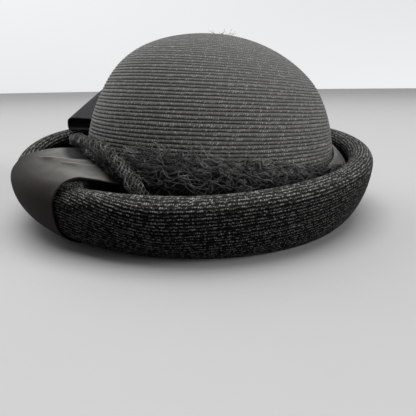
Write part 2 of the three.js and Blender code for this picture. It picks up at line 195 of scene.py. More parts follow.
def grid_normals(grid: Array, wrap: bool) -> Array:
    """Unit normals of a grid of points.

    Args:
        grid: Points by row and column.
        wrap: Whether the last column joins the first.

    Returns:
        One normal for each point.
    """
    across = np.roll(grid, -1, 1) - np.roll(grid, 1, 1) if wrap else np.gradient(grid, axis=1)
    return unit(np.cross(across, np.gradient(grid, axis=0)))


class Ripple:
    """Smooth, repeatable unevenness over a plane, as a sum of sine waves."""

    def __init__(self, seed: int, waves: Waves, count: int = 14) -> None:
        """Draws the waves.

        Args:
            seed: Seed of the draw.
            waves: Range of wave lengths, and the height.
            count: Number of waves.
        """
        shortest, longest, height = waves
        rng = np.random.default_rng(seed)
        turn = rng.uniform(0, FULL_TURN, count)
        length = np.exp(rng.uniform(math.log(shortest), math.log(longest), count))
        self.kx = FULL_TURN / length * np.cos(turn)
        self.ky = FULL_TURN / length * np.sin(turn)
        self.phase = rng.uniform(0, FULL_TURN, count)
        self.size = height * math.sqrt(2.0 / count)

    def __call__(self, x: Array, y: Array) -> Array:
        """Unevenness at places on the plane.

        Args:
            x: Places along.
            y: Places across.

        Returns:
            The unevenness, mostly within the height.
        """
        x, y = np.broadcast_arrays(x, y)
        waves = np.sin(x[..., None] * self.kx + y[..., None] * self.ky + self.phase)
        return self.size * waves.sum(axis=-1)


class Wire:
    """One output of a node; arithmetic on it adds Math nodes."""

    def __init__(self, bench: "Bench", socket: bpy.types.NodeSocket) -> None:
        """Keeps the socket and the tree that it is in."""
        self.bench = bench
        self.socket = socket

    def _math(self, operation: str, *values: "Feed") -> "Wire":
        """Adds a Math node on the values."""
        return self.bench.node("ShaderNodeMath", {"operation": operation}, dict(enumerate(values)))

    def __add__(self, other: "Feed") -> "Wire":
        """Sum."""
        return self._math("ADD", self, other)

    def __radd__(self, other: "Feed") -> "Wire":
        """Sum, reflected."""
        return self._math("ADD", other, self)

    def __sub__(self, other: "Feed") -> "Wire":
        """Difference."""
        return self._math("SUBTRACT", self, other)

    def __rsub__(self, other: "Feed") -> "Wire":
        """Difference, reflected."""
        return self._math("SUBTRACT", other, self)

    def __mul__(self, other: "Feed") -> "Wire":
        """Product."""
        return self._math("MULTIPLY", self, other)

    def __rmul__(self, other: "Feed") -> "Wire":
        """Product, reflected."""
        return self._math("MULTIPLY", other, self)

    def __pow__(self, other: "Feed") -> "Wire":
        """Power."""
        return self._math("POWER", self, other)

    def __abs__(self) -> "Wire":
        """Size without its sign."""
        return self._math("ABSOLUTE", self)

    def floor(self) -> "Wire":
        """Next whole number down."""
        return self._math("FLOOR", self)

    def fract(self) -> "Wire":
        """Part after the whole number."""
        return self._math("FRACT", self)

    def zigzag(self) -> "Wire":
        """Goes from 1 at whole numbers to 0 halfway between them."""
        return abs(self.fract() * 2.0 - 1.0)

    def above(self, limit: float) -> "Wire":
        """1 above a limit, and 0 below it."""
        return self._math("GREATER_THAN", self, limit)

    def ease(self, low: float, high: float, start: float = 0.0, end: float = 1.0) -> "Wire":
        """Eases from start to end as the value goes from low to high."""
        sockets = {"Value": self, "From Min": low, "From Max": high, "To Min": start, "To Max": end}
        return self.bench.node("ShaderNodeMapRange", {"interpolation_type": "SMOOTHSTEP"}, sockets)

    def part(self, axis: str) -> "Wire":
        """X, Y or Z of a vector."""
        return self.bench.node("ShaderNodeSeparateXYZ", {}, {"Vector": self}, axis)


Feed = Union[Wire, float, Sequence[float]]


class Bench:
    """Node tree under construction."""

    def __init__(self, owner: Union[bpy.types.Material, bpy.types.World]) -> None:
        """Empties the owner's tree.

        Args:
            owner: Material or surround to build.
        """
        owner.use_nodes = True
        self.owner = owner
        self.tree = owner.node_tree
        self.tree.nodes.clear()

    @classmethod
    def of(cls, name: str) -> "Bench":
        """Starts a material."""
        return cls(bpy.data.materials.new(name))

    def node(self, kind: str, settings: dict, sockets: dict, output: Union[int, str] = 0) -> Wire:
        """Adds a node.

        Args:
            kind: Node type.
            settings: Attributes, set before the sockets.
            sockets: Values or wires by socket name or number.
            output: Name or number of the output to return.

        Returns:
            The chosen output.
        """
        node = self.tree.nodes.new(kind)
        for name, value in settings.items():
            setattr(node, name, value)
        for key, value in sockets.items():
            socket = node.inputs[key]
            if isinstance(value, Wire):
                self.tree.links.new(value.socket, socket)
            else:
                socket.default_value = value
        return Wire(self, node.outputs[output])

    def mix(self, share: Feed, low: Feed, high: Feed) -> Wire:
        """Mixes two colours."""
        colours = [c if isinstance(c, Wire) else (*c, 1.0) for c in (low, high)]
        return self.node("ShaderNodeMix", {"data_type": "RGBA"}, {0: share, 6: colours[0], 7: colours[1]}, 2)

    def up(self) -> Wire:
        """Height share of the surface's own normal: 1 on a level top."""
        return self.node("ShaderNodeNewGeometry", {}, {}, "Normal").part("Z")

    def noise(self, kind: "Noise") -> Wire:
        """Soft noise from 0 to 1."""
        sockets = {"Vector": self.place(), "Scale": kind.scale, "Detail": kind.detail}
        return self.node("ShaderNodeTexNoise", {}, sockets)

    def flat(self) -> Wire:
        """Place on the piece's own flat map."""
        return self.node("ShaderNodeUVMap", {"uv_map": PLAIT_MAP}, {})

    def place(self) -> Wire:
        """Place on the object, in metres."""
        return self.node("ShaderNodeTexCoord", {}, {}, "Object")

    def bump(self, height: Wire, depth_mm: float) -> Wire:
        """Normal of a surface with relief of the given depth."""
        return self.node("ShaderNodeBump", {}, {"Height": height, "Distance": depth_mm * MM})

    def close(self, shader: Wire, output: str) -> None:
        """Links a shader to an output node of the given type."""
        out = self.tree.nodes.new(output)
        self.tree.links.new(shader.socket, out.inputs["Surface"])

    def finish(self, sockets: dict) -> bpy.types.Material:
        """Closes a material with a surface shader.

        Args:
            sockets: Values or wires of the shader by socket name.

        Returns:
            The material.
        """
        self.close(self.node("ShaderNodeBsdfPrincipled", {}, sockets), "ShaderNodeOutputMaterial")
        return self.owner


@dataclass(frozen=True)
class Noise:
    """Soft noise: waves to a metre, and its detail."""

    scale: float
    detail: float


@dataclass(frozen=True)
class StrawFinish:
    """Plaited straw: slanting strands in each sewn row, grooves in painted shade, painted light on the tops
    that face up, and painted glints on strands picked at random.
    """

    name: str
    # Colours: the grooves' colours are painted shade, the lit colours are painted light on tops that face up,
    # and the spot colours are painted glints.
    painted_groove: Colour
    lit_groove: Colour
    strand: Colour
    lit_strand: Colour
    glint: Colour
    lit_glint: Colour
    groove_share: float
    even_share: float
    glint_from: float
    glint_gap: float
    slant: float
    jitter: float
    row_jitter: float
    loose_top: float
    depth_mm: float
    specular: float
    faces_up: Range = (-0.1, 0.9)
    drift: Noise = Noise(380.0, 2.0)
    uneven: Noise = Noise(330.0, 1.0)
    patches: Noise = Noise(55.0, 3.0)
    patch_range: Range = (0.3, 0.7)
    patch_share: float = 0.2
    strand_edge: Range = (0.05, 0.7)
    glint_length: float = 0.55
    glint_narrow: float = 3.0
    glint_polish: float = 0.25
    luck_relief: float = 0.35
    roughness: float = 0.68

    def material(self) -> bpy.types.Material:
        """Builds the material.

        Returns:
            The material, for a map that counts strands along a row and rows across the straw.
        """
        bench = Bench.of(self.name)
        plait = bench.flat()
        # Painted light: the share by which the surface faces up; tops are painted paler, as if lit from
        # above.
        top = bench.up().ease(*self.faces_up)
        drift = bench.noise(self.drift) - 0.5
        row = plait.part("Y") + drift * (self.row_jitter + top * self.loose_top)
        place = row.fract()
        side = abs(place - 0.5) * 2.0
        uneven = bench.noise(self.uneven) - 0.5
        lie = plait.part("X") + self.slant * side + uneven * self.jitter
        strand = 1.0 - lie.zigzag()
        half = row.floor() * 2.0 + place.above(0.5)
        spot = bench.node("ShaderNodeCombineXYZ", {}, {"X": lie.floor(), "Y": half})
        luck = bench.node("ShaderNodeTexWhiteNoise", {"noise_dimensions": "2D"}, {"Vector": spot})
        open_row = side.ease(1.0 - self.groove_share, 1.0, 1.0, 0.0)
        raised = strand.ease(*self.strand_edge) * open_row
        lucky = luck.ease(self.glint_from, 1.0)
        # Painted glints: small spots in the middle of raised strands, picked at random, paler than the straw
        # and a little less rough.
        painted_glint = strand.ease(self.glint_gap, self.glint_gap + self.glint_length) * open_row**self.glint_narrow * lucky
        patch = bench.noise(self.patches).ease(*self.patch_range) * self.patch_share
        # Strands: their own colour where they face sideways, and a painted lit colour on the tops, varied by
        # random patches.
        body = bench.mix(top * (1.0 - self.patch_share + patch), self.strand, self.lit_strand)
        # Painted shade in the grooves between rows and between strands, made lighter where they face up.
        painted_groove = bench.mix(top, self.painted_groove, self.lit_groove)
        ground = bench.mix(raised * (self.even_share + luck * (1.0 - self.even_share)), painted_groove, body)
        return bench.finish(
            {
                "Base Color": bench.mix(painted_glint, ground, bench.mix(top, self.glint, self.lit_glint)),
                "Roughness": self.roughness - painted_glint * self.glint_polish,
                "Specular IOR Level": self.specular,
                "Normal": bench.bump(raised + luck * self.luck_relief, self.depth_mm),
            }
        )


@dataclass(frozen=True)
class RibbonFinish:
    """Ribbon with very fine cross ribs: very dark, with painted top light mixed with random wear on what
    faces up.

    The painted top light fades along the ribbon, and is stronger at the hem; crests of folds get a painted
    highlight and hollows painted shade. Places within the tucked range of the inner end are painted in deep
    shade, where the ribbon goes under the rope; behind and beside move that end at the two edges.
    """

    name: str
    colour: Colour
    top_light_and_wear: Colour
    faces_up: Range
    ribs_per_mm: float
    roughness: float
    gloss: float
    along: Ramp = EVEN
    behind: Ramp = EVEN
    beside: Ramp = EVEN
    tucked: Ramp = EVEN
    hem: Ramp = NONE
    crest_light_and_shade: float = 0.0
    shade: Colour = (0.003, 0.003, 0.003)
    threads_per_mm: float = 3.1
    clouds: Noise = Noise(70.0, 4.0)
    cloud_range: Range = (0.35, 0.65)
    cloud_wear: float = 0.3
    grain: Noise = Noise(900.0, 2.0)
    grain_wear: float = 0.4
    plain_wear: float = 0.45
    rib_shade: float = 0.25
    cloud_roughness: float = 0.12
    rib_relief: float = 0.7
    thread_relief: float = 0.3
    cloud_relief: float = 0.8
    depth_mm: float = 0.12

    def material(self) -> bpy.types.Material:
        """Builds the material.

        Returns:
            The material, for a map in millimetres across and along the ribbon.
        """
        bench = Bench.of(self.name)
        across = bench.flat().part("X")
        inwards = bench.flat().part("Y")
        rib = (inwards * self.ribs_per_mm).zigzag()
        thread = (across * self.threads_per_mm).zigzag()
        cloudy = bench.noise(self.clouds)
        # Painted highlight on convex crests and painted shade in hollows, read from the mesh's pointiness.
        crest_shading = bench.node("ShaderNodeNewGeometry", {}, {}, "Pointiness") - 0.5
        rubbed = self.plain_wear + cloudy.ease(*self.cloud_range) * self.cloud_wear
        rubbed = rubbed + bench.noise(self.grain) * self.grain_wear
        rubbed = rubbed + across.ease(*self.hem) + crest_shading * self.crest_light_and_shade
        # Painted top light, mixed with random wear: paler on what faces up, fading along the ribbon.
        top_light_and_wear_mask = bench.up().ease(*self.faces_up) * inwards.ease(*self.along) * rubbed
        ribbed = bench.mix(top_light_and_wear_mask * (1.0 - rib * self.rib_shade), self.colour, self.top_light_and_wear)
        # Painted shadow: near the inner end, where the ribbon goes under the rope into the trough, the colour
        # turns to the shade colour; the shaded stretch reaches further at the far side and at the near edge.
        clear = inwards - across.ease(*self.behind) - across.ease(*self.beside)
        relief = rib * self.rib_relief + thread * self.thread_relief + cloudy * self.cloud_relief
        return bench.finish(
            {
                "Base Color": bench.mix(clear.ease(*self.tucked), self.shade, ribbed),
                "Roughness": self.roughness + cloudy * self.cloud_roughness,
                "Specular IOR Level": self.gloss,
                "Normal": bench.bump(relief, self.depth_mm),
            }
        )


@dataclass(frozen=True)
class NetFinish:
    """Fine crinkled thread of the veil, greyer where it has rubbed, and painted very dark low down in the
    trough as painted shade.
    """

    name: str
    thread: Colour
    rubbed: Colour
    heights: Ramp
    trough_shade: Colour = (0.008, 0.008, 0.0078)
    rubs: Noise = Noise(160.0, 3.0)
    rub_range: Range = (0.42, 0.72)
    fibres: Noise = Noise(2600.0, 2.0)
    fibre_share: float = 0.5
    roughness: float = 0.55
    fibre_roughness: float = 0.2
    gloss: float = 0.3
    depth_mm: float = 0.06

    def material(self) -> bpy.types.Material:
        """Builds the material.

        Returns:
            The material, for heights in metres, from threads in painted shade in the trough to rubbed ones.
        """
        bench = Bench.of(self.name)
        rub = bench.noise(self.rubs).ease(*self.rub_range)
        fibre = bench.noise(self.fibres)
        worn = rub * (1.0 - self.fibre_share + fibre * self.fibre_share)
        plain = bench.mix(worn, self.thread, self.rubbed)
        # Painted shade: threads low down in the trough are mixed towards a very dark colour.
        height = bench.place().part("Z")
        return bench.finish(
            {
                "Base Color": bench.mix(height.ease(*self.heights), self.trough_shade, plain),
                "Roughness": self.roughness + fibre * self.fibre_roughness,
                "Specular IOR Level": self.gloss,
                "Normal": bench.bump(fibre, self.depth_mm),
            }
        )


@dataclass(frozen=True)
class FloorFinish:
    """Plain pale studio floor, with a trace of unevenness."""

    name: str
    colour: Colour
    paler: Colour
    specks: Noise = Noise(30.0, 2.0)
    roughness: float = 0.9
    gloss: float = 0.1

    def material(self) -> bpy.types.Material:
        """Builds the material.

        Returns:
            The material.
        """
        bench = Bench.of(self.name)
        colour = bench.mix(bench.noise(self.specks), self.colour, self.paler)
        sockets = {"Base Color": colour, "Roughness": self.roughness, "Specular IOR Level": self.gloss}
        return bench.finish(sockets)


# In the straw finishes the colours for grooves are painted shade, the lit colours are painted top light, and
# the spot colours are painted glints.
CROWN_STRAW = StrawFinish(
    name="crown_straw",
    painted_groove=(0.02, 0.0198, 0.0186),
    lit_groove=(0.083, 0.0826, 0.0775),
    strand=(0.118, 0.1175, 0.11),
    lit_strand=(0.129, 0.1285, 0.1205),
    glint=(0.33, 0.329, 0.311),
    lit_glint=(0.205, 0.205, 0.195),
    groove_share=0.45,
    even_share=0.3,
    glint_from=0.55,
    glint_gap=0.4,
    slant=0.8,
    jitter=1.2,
    row_jitter=0.35,
    loose_top=0.45,
    depth_mm=0.3,
    specular=0.2,
)
BRIM_STRAW = StrawFinish(
    name="brim_straw",
    painted_groove=(0.002, 0.002, 0.0019),
    lit_groove=(0.018, 0.018, 0.0165),
    strand=(0.003, 0.0029, 0.0027),
    lit_strand=(0.085, 0.085, 0.079),
    glint=(0.092, 0.0915, 0.0865),
    lit_glint=(0.32, 0.3215, 0.304),
    groove_share=0.85,
    even_share=0.3,
    glint_from=0.25,
    glint_gap=-0.1,
    slant=0.5,
    jitter=1.6,
    row_jitter=0.55,
    loose_top=0.8,
    depth_mm=0.4,
    specular=0.02,
)
# In the ribbon finishes the second colour is painted top light mixed with random wear; the wrapped ribbon's
# tucked, behind and beside ramps paint deep shade at its inner end.
WRAP_RIBBON = RibbonFinish(
    name="wrap_ribbon",
    colour=(0.0138, 0.0108, 0.0096),
    top_light_and_wear=(0.162, 0.1625, 0.149),
    faces_up=(0.8, 1.0),
    ribs_per_mm=2.2,
    roughness=0.62,
    gloss=0.06,
    along=(13.0, 36.0, 1.0, 0.1),
    behind=(38.0, 48.0, 0.0, 8.0),
    beside=(0.0, 18.0, 6.0, 0.0),
    tucked=(-1.0, 5.0, 0.0, 1.0),
    hem=(0.9, 2.2, 0.25, 0.0),
    crest_light_and_shade=20.0,
)
BAND_RIBBON = RibbonFinish(
    name="band_ribbon",
    colour=(0.012, 0.0118, 0.0112),
    top_light_and_wear=(0.2, 0.1975, 0.19),
    faces_up=(0.02, 0.4),
    ribs_per_mm=1.8,
    roughness=0.6,
    gloss=0.12,
)
BOW_RIBBON = RibbonFinish(
    name="bow_ribbon",
    colour=(0.01, 0.01, 0.011),
    top_light_and_wear=(0.0385, 0.0385, 0.043),
    faces_up=(-0.35, 0.95),
    ribs_per_mm=2.2,
    roughness=0.62,
    gloss=0.1,
)
# The nets are painted very dark low down, as painted shade in the trough.
VEIL_NET = NetFinish(
    name="veil_net",
    thread=(0.055, 0.055, 0.0525),
    rubbed=(0.23, 0.23, 0.219),
    heights=(0.026, 0.052, 0.08, 0.95),
)
TWIST_NET = NetFinish(
    name="twist_net",
    thread=(0.042, 0.042, 0.0395),
    rubbed=(0.165, 0.165, 0.153),
    heights=(0.02, 0.034, 0.5, 1.0),
)
PALE_FLOOR = FloorFinish("pale_floor", (0.36, 0.36, 0.356), (0.3672, 0.3672, 0.36312))


@dataclass(frozen=True)
class CrownForm:
    """Oval dome of the crown, in millimetres."""

    half_width: float
    half_length: float
    top_z: float
    centre_x: float
    edge_z: float = 9.0
    dome_start_z: float = 12.9
    power_up: float = 2.7
    power_out: float = 2.2
    lean_x: float = -5.2
    lean_from: float = 0.62
    tip_x: float = 0.155
    wall: float = 2.2

    def rise(self, z: Array) -> Array:
        """Height as a share of the dome."""
        return np.clip((z - self.dome_start_z) / (self.top_z - self.dome_start_z), 0.0, 1.0)

    def rise_at(self, share: Array) -> Array:
        """Height as a share of the dome, where the given share of the full oval is left."""
        return (1 - share**self.power_out) ** (1 / self.power_up)

    def middle_x(self, z: Array) -> Array:
        """Sideways place of the crown's middle: the top leans a little."""
        return self.centre_x + self.lean_x * smooth(self.rise(z), self.lean_from, 1.0)

    def tip(self, cut: float) -> Array:
        """Point where the sewn rows close, below the outer face by a cut."""
        z = self.dome_start_z + (self.top_z - self.dome_start_z) * self.rise_at(abs(self.tip_x))
        return np.array([self.middle_x(z) + self.half_width * self.tip_x, 0.0, z - cut])

    def beside(self, azimuth: Array, z: Array, stand_off: Array) -> Array:
        """Points beside the crown's wall.

        Args:
            azimuth: Degrees from the front.
            z: Heights.
            stand_off: Distance outwards from the wall.

        Returns:
            Points, with the coordinates last.
        """
        a = np.radians(azimuth)
        share = (1 - self.rise(z) ** self.power_up) ** (1 / self.power_out)
        wide = self.half_width * share
        long = self.half_length * share
        nx = np.sin(a) / wide
        ny = -np.cos(a) / long
        size = np.hypot(nx, ny)
        x = self.middle_x(z) + wide * np.sin(a) + nx / size * stand_off
        y = -long * np.cos(a) + ny / size * stand_off
        return np.stack(np.broadcast_arrays(x, y, z), axis=-1)

    def meridian(self, azimuth: float, cut: float, steps: int = 500) -> Array:
        """Line up the crown from its edge to its top.

        Args:
            azimuth: Degrees from the front.
            cut: How far inside the outer face it runs.
            steps: Number of points on the dome.

        Returns:
            Points from the edge upwards.
        """
        a = math.radians(azimuth)
        out = np.maximum(np.cos(np.linspace(0, math.pi / 2, steps)), 0.0) ** (2 / self.power_out)
        # The sewn rows close round a tip that is a little beside the dome's middle.
        across = out * math.sin(a) + self.tip_x * (1 - out**2)
        ahead = -out * math.cos(a)
        share = np.minimum(np.hypot(across, ahead), 1.0)
        z = self.dome_start_z + (self.top_z - cut - self.dome_start_z) * self.rise_at(share)
        x = self.middle_x(z + cut) + (self.half_width - cut) * across
        dome = np.stack([x, (self.half_length - cut) * ahead, z], axis=1)
        return np.vstack([[dome[0, 0], dome[0, 1], self.edge_z], dome])


@dataclass(frozen=True)
class BrimRow:
    """Section of the brim at an azimuth: rim height, lip radius, flat base and squareness of its bowl."""

    at: float
    rim: float
    roll: float
    flat: float
    bowl: float


BRIM_ROWS = (
    BrimRow(-180, 52, 7.0, 9.5, 2.0),
    BrimRow(-145, 52, 7.0, 10.5, 2.0),
    BrimRow(-116, 51, 6.8, 11.5, 2.0),
    BrimRow(-100, 48.8, 6.6, 11, 2.05),
    BrimRow(-84, 44.4, 6.6, 10, 2.1),
    BrimRow(-68, 38.6, 6.6, 8.5, 2.1),
    BrimRow(-50, 37, 6.8, 8.5, 2.1),
    BrimRow(-28, 37.3, 7.2, 12, 2.15),
    BrimRow(0, 36.5, 7.4, 13, 2.2),
    BrimRow(30, 39, 7.6, 11.5, 2.1),
    BrimRow(60, 43, 7.8, 6.5, 1.8),
    BrimRow(82, 46.3, 7.6, 5.5, 1.7),
    BrimRow(112, 50, 7.2, 6.5, 1.8),
    BrimRow(145, 51.5, 7.0, 8.5, 1.9),
)


class BrimSection:
    """The brim's sections at an array of azimuths: curves in distance along the spoke, height and normal."""

    def __init__(self, form: "BrimForm", azimuth: Array) -> None:
        """Reads the section sizes.

        Args:
            form: The brim.
            azimuth: Degrees from the front.
        """
        a = np.radians(azimuth)
        crown = form.crown
        head = np.stack([crown.centre_x + crown.half_width * np.sin(a), -crown.half_length * np.cos(a)], -1)
        rim = np.stack([form.centre_x + form.half_width * np.sin(a), -form.half_length * np.cos(a)], -1)
        self.head = head
        self.reach = np.linalg.norm(rim - head, axis=-1)
        self.out = (rim - head) / self.reach[..., None]
        self.half = crown.wall / 2
        self.roll = column(BRIM_ROWS, "roll", azimuth, True)
        self.lip_z = column(BRIM_ROWS, "rim", azimuth, True) - self.roll
        self.flat = column(BRIM_ROWS, "flat", azimuth, True)
        self.power = column(BRIM_ROWS, "bowl", azimuth, True)

    def wall(self, turn: Array) -> tuple[Array, Array, Array, Array]:
        """Wall of the brim.

        Args:
            turn: Degrees, from 0 at its foot to 90 at its outermost point.

        Returns:
            Distance along the spoke, height, and both parts of the normal.
        """
        n = np.sin(np.radians(turn))
        c = np.maximum(np.cos(np.radians(turn)), 0.0)
        wide = self.reach - self.half - self.flat
        high = self.lip_z - self.half
        s = self.flat + wide * n ** (2 / self.power)
        z = self.half + high * (1 - c ** (2 / self.power))
        gs = n ** (2 - 2 / self.power) / wide
        gz = -(c ** (2 - 2 / self.power)) / high
        size = np.hypot(gs, gz)
        return s, z, gs / size, gz / size

    def lip(self, turn: Array) -> tuple[Array, Array, Array, Array]:
        """Rolled lip of the brim.

        Args:
            turn: Degrees, from 0 at its outermost point over its top at 90.

        Returns:
            Distance along the spoke, height, and both parts of the normal.
        """
        a = np.radians(turn)
        r = self.roll - self.half
        zero = np.zeros_like(r)
        s = self.reach - self.roll + r * np.cos(a)
        return s, self.lip_z + r * np.sin(a), np.cos(a) + zero, np.sin(a) + zero

    def at(self, turn: Array) -> tuple[Array, Array, Array, Array]:
        """Wall and lip as one run.

        Args:
            turn: Degrees, below 0 on the wall and above it on the lip.

        Returns:
            Distance along the spoke, height, and both parts of the normal.
        """
        lip = self.lip(np.maximum(turn, 0.0))
        wall = self.wall(np.minimum(turn, 0.0) + 90.0)
        return tuple(np.where(turn >= 0, a, b) for a, b in zip(lip, wall))

    def place(self, s: Array, z: Array) -> Array:
        """Points at a distance along the spoke and a height."""
        flat = self.head + self.out * s[..., None]
        return np.concatenate([flat, np.broadcast_to(z, s.shape)[..., None]], axis=-1)


@dataclass(frozen=True)
class BrimForm:
    """Turned-up brim with a rolled lip, in millimetres."""

    crown: CrownForm
    centre_x: float
    half_width: float
    half_length: float
    fillet: float = 4.0
    lip_turn: float = 205.0
    seam_gap: float = 0.3
    collar_steps: int = 4
    fillet_steps: int = 9
    wall_steps: int = 70
    lip_steps: int = 60

    def section(self, azimuth: Array) -> BrimSection:
        """Sections at the given azimuths."""
        return BrimSection(self, azimuth)

    def path(self, azimuth: Array) -> tuple[Array, Array]:
        """Middle of the straw from the head opening to the end of the lip.

        Args:
            azimuth: Degrees from the front.

        Returns:
            Points and outward normals in the spoke's plane (distance, height), by azimuth and step.
        """
        cut = self.section(azimuth[:, None])
        half = cut.half
        one = np.ones((len(azimuth), 1))
        top = np.linspace(self.crown.edge_z - self.seam_gap, self.fillet + half, self.collar_steps)[:-1]
        collar = (-half * one, one * top, -one, 0 * one)
        bend = np.radians(np.linspace(0, 90, self.fillet_steps))[None, :]
        fillet = (
            one * (self.fillet - half - self.fillet * np.cos(bend)),
            one * (self.fillet + half - self.fillet * np.sin(bend)),
            -one * np.cos(bend),
            -one * np.sin(bend),
        )
        wall = cut.wall(np.linspace(0, 90, self.wall_steps)[None, :])
        lip = cut.lip(np.linspace(0, self.lip_turn, self.lip_steps)[None, 1:])
        runs = []
        for run in (collar, fillet, wall, lip):
            size = max(part.shape[1] for part in run)
            runs.append(np.stack([np.broadcast_to(part, (len(azimuth), size)) for part in run], -1))
        full = np.concatenate(runs, axis=1)
        return full[..., :2], full[..., 2:]


class Skin:
    """Points, faces and a map that grow grid by grid into one mesh."""

    def __init__(self) -> None:
        """Starts empty."""
        self.points: list[Array] = []
        self.faces: list[Array] = []
        self.map: list[Array] = []
        self.count = 0

    def add_points(self, points: Array) -> Array:
        """Adds points.

        Args:
            points: Points in any layout, with the coordinates last.

        Returns:
            Their numbers in the same layout.
        """
        shape = points.shape[:-1]
        numbers = np.arange(self.count, self.count + int(np.prod(shape))).reshape(shape)
        self.points.append(points.reshape(-1, 3))
        self.count += numbers.size
        return numbers

    def add_quads(self, numbers: Array, u: Array, v: Array) -> None:
        """Fills a grid of point numbers with faces.

        Args:
            numbers: Point numbers by row and column.
            u: Map value across, for each corner of the grid.
            v: Map value along, for each corner of the grid.
        """
        quad = [numbers[:-1, :-1], numbers[:-1, 1:], numbers[1:, 1:], numbers[1:, :-1]]
        self.faces.append(np.stack(quad, -1).reshape(-1, 4))
        corners = []
        for value in (u, v):
            corners.append(np.stack([value[:-1, :-1], value[:-1, 1:], value[1:, 1:], value[1:, :-1]], -1))
        self.map.append(np.stack(corners, -1).reshape(-1, 4, 2))

    def object(self, name: str, material: bpy.types.Material) -> bpy.types.Object:
        """Makes the mesh object.

        Args:
            name: Name of the piece.
            material: Its finish.

        Returns:
            The object, linked to the scene.
        """
        points = (np.concatenate(self.points) + HAT_ORIGIN) * MM
        faces = np.concatenate(self.faces)
        uv = np.concatenate(self.map)
        mesh = bpy.data.meshes.new(name)
        mesh.from_pydata(points.tolist(), [], faces.tolist())
        layer = mesh.uv_layers.new(name=PLAIT_MAP)
        layer.data.foreach_set("uv", uv.reshape(-1).astype(np.float32))
        mesh.shade_smooth()
        mesh.validate()
        return link(name, mesh, material)


def link(name: str, mesh: bpy.types.Mesh, material: bpy.types.Material) -> bpy.types.Object:
    """Puts a mesh into the scene with its material.

    Args:
        name: Name of the object.
        mesh: Its mesh.
        material: Its finish.

    Returns:
        The object.
    """
    mesh.materials.append(material)
    item = bpy.data.objects.new(name, mesh)
    bpy.context.scene.collection.objects.link(item)
    return item


def settle(item: bpy.types.Object, node: str = "") -> None:
    """Ties a piece to the frame and reports it.

    Args:
        item: The piece.
        node: Node of the frame that it stands for, if any.
    """
    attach(item, BODY)
    if node:
        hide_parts(node)
    LOG.info("%s: %d faces", item.name, len(item.data.polygons))


def ribbon_skin(grid: Array, thickness: float, wrap: bool) -> Skin:
    """Closed sheet of even thickness from a grid of middle points.

    Args:
        grid: Middle points by row along and column across the ribbon.
        thickness: Thickness of the ribbon.
        wrap: Whether the columns join into a ring.

    Returns:
        The skin, with a map in millimetres.
    """
    normal = grid_normals(grid, wrap)
    skin = Skin()
    top = skin.add_points(grid + normal * thickness / 2)
    low = skin.add_points(grid - normal * thickness / 2)
    if wrap:
        grid, top, low = closed(grid), closed(top), closed(low)
    u = along(grid.swapaxes(0, 1)).T
    v = along(grid)
    skin.add_quads(top, u, v)
    skin.add_quads(low[:, ::-1], u[:, ::-1], v[:, ::-1])
    edges = ((low, top, 0), (top, low, -1))
    for a, b, k in edges:
        skin.add_quads(np.stack([a[k], b[k]]), np.stack([u[k]] * 2), np.stack([v[k]] * 2))
    if not wrap:
        for a, b, k in edges:
            pair = np.stack([a[:, k], b[:, k]], 1)
            skin.add_quads(pair, np.stack([u[:, k]] * 2, 1), np.stack([v[:, k]] * 2, 1))
    return skin


def thread_skin(lines: Sequence[Array], radius: float, sides: int = 3, taper: float = 0.25) -> Skin:
    """Thin tubes along lines of points, as one skin.

    Args:
        lines: Lines of points.
        radius: Radius of the thread.
        sides: Corners of the tube's section.
        taper: Share of the radius at a thread's ends.

    Returns:
        The skin.
    """
    skin = Skin()
    turn = np.linspace(0, FULL_TURN, sides, endpoint=False)
    for line in lines:
        ahead = unit(np.gradient(line, axis=0))
        side = unit(np.cross(ahead, THREAD_SIDE))
        over = np.cross(ahead, side)
        size = np.full(len(line), radius)
        size[[0, -1]] *= taper
        ring = side[:, None] * np.cos(turn)[None, :, None] + over[:, None] * np.sin(turn)[None, :, None]
        numbers = closed(skin.add_points(line[:, None] + ring * size[:, None, None]))
        u = np.broadcast_to(np.arange(sides + 1.0), numbers.shape)
        v = np.broadcast_to(along(line)[:, None], numbers.shape)
        skin.add_quads(numbers, u, v)
    return skin


def frame_forms() -> tuple[CrownForm, BrimForm, Array]:
    """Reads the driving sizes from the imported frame.

    Returns:
        The crown, the brim, and the place of the hat's own origin, in millimetres.
    """
    low, high = (np.array(corner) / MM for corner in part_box("crown"))
    brim_low, brim_high = (np.array(corner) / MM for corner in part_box("brim"))
    middle = (low + high) / 2
    rim_middle = (brim_low + brim_high) / 2
    half = (high - low) / 2
    rim_half = (brim_high - brim_low) / 2
    crown = CrownForm(half[0], half[1], high[2], CROWN_CENTRE_X)
    origin = np.array([middle[0] - CROWN_CENTRE_X, 0.0, 0.0])
    brim = BrimForm(crown, rim_middle[0] - origin[0], rim_half[0], rim_half[1])
    return crown, brim, origin


CROWN, BRIM, HAT_ORIGIN = frame_forms()


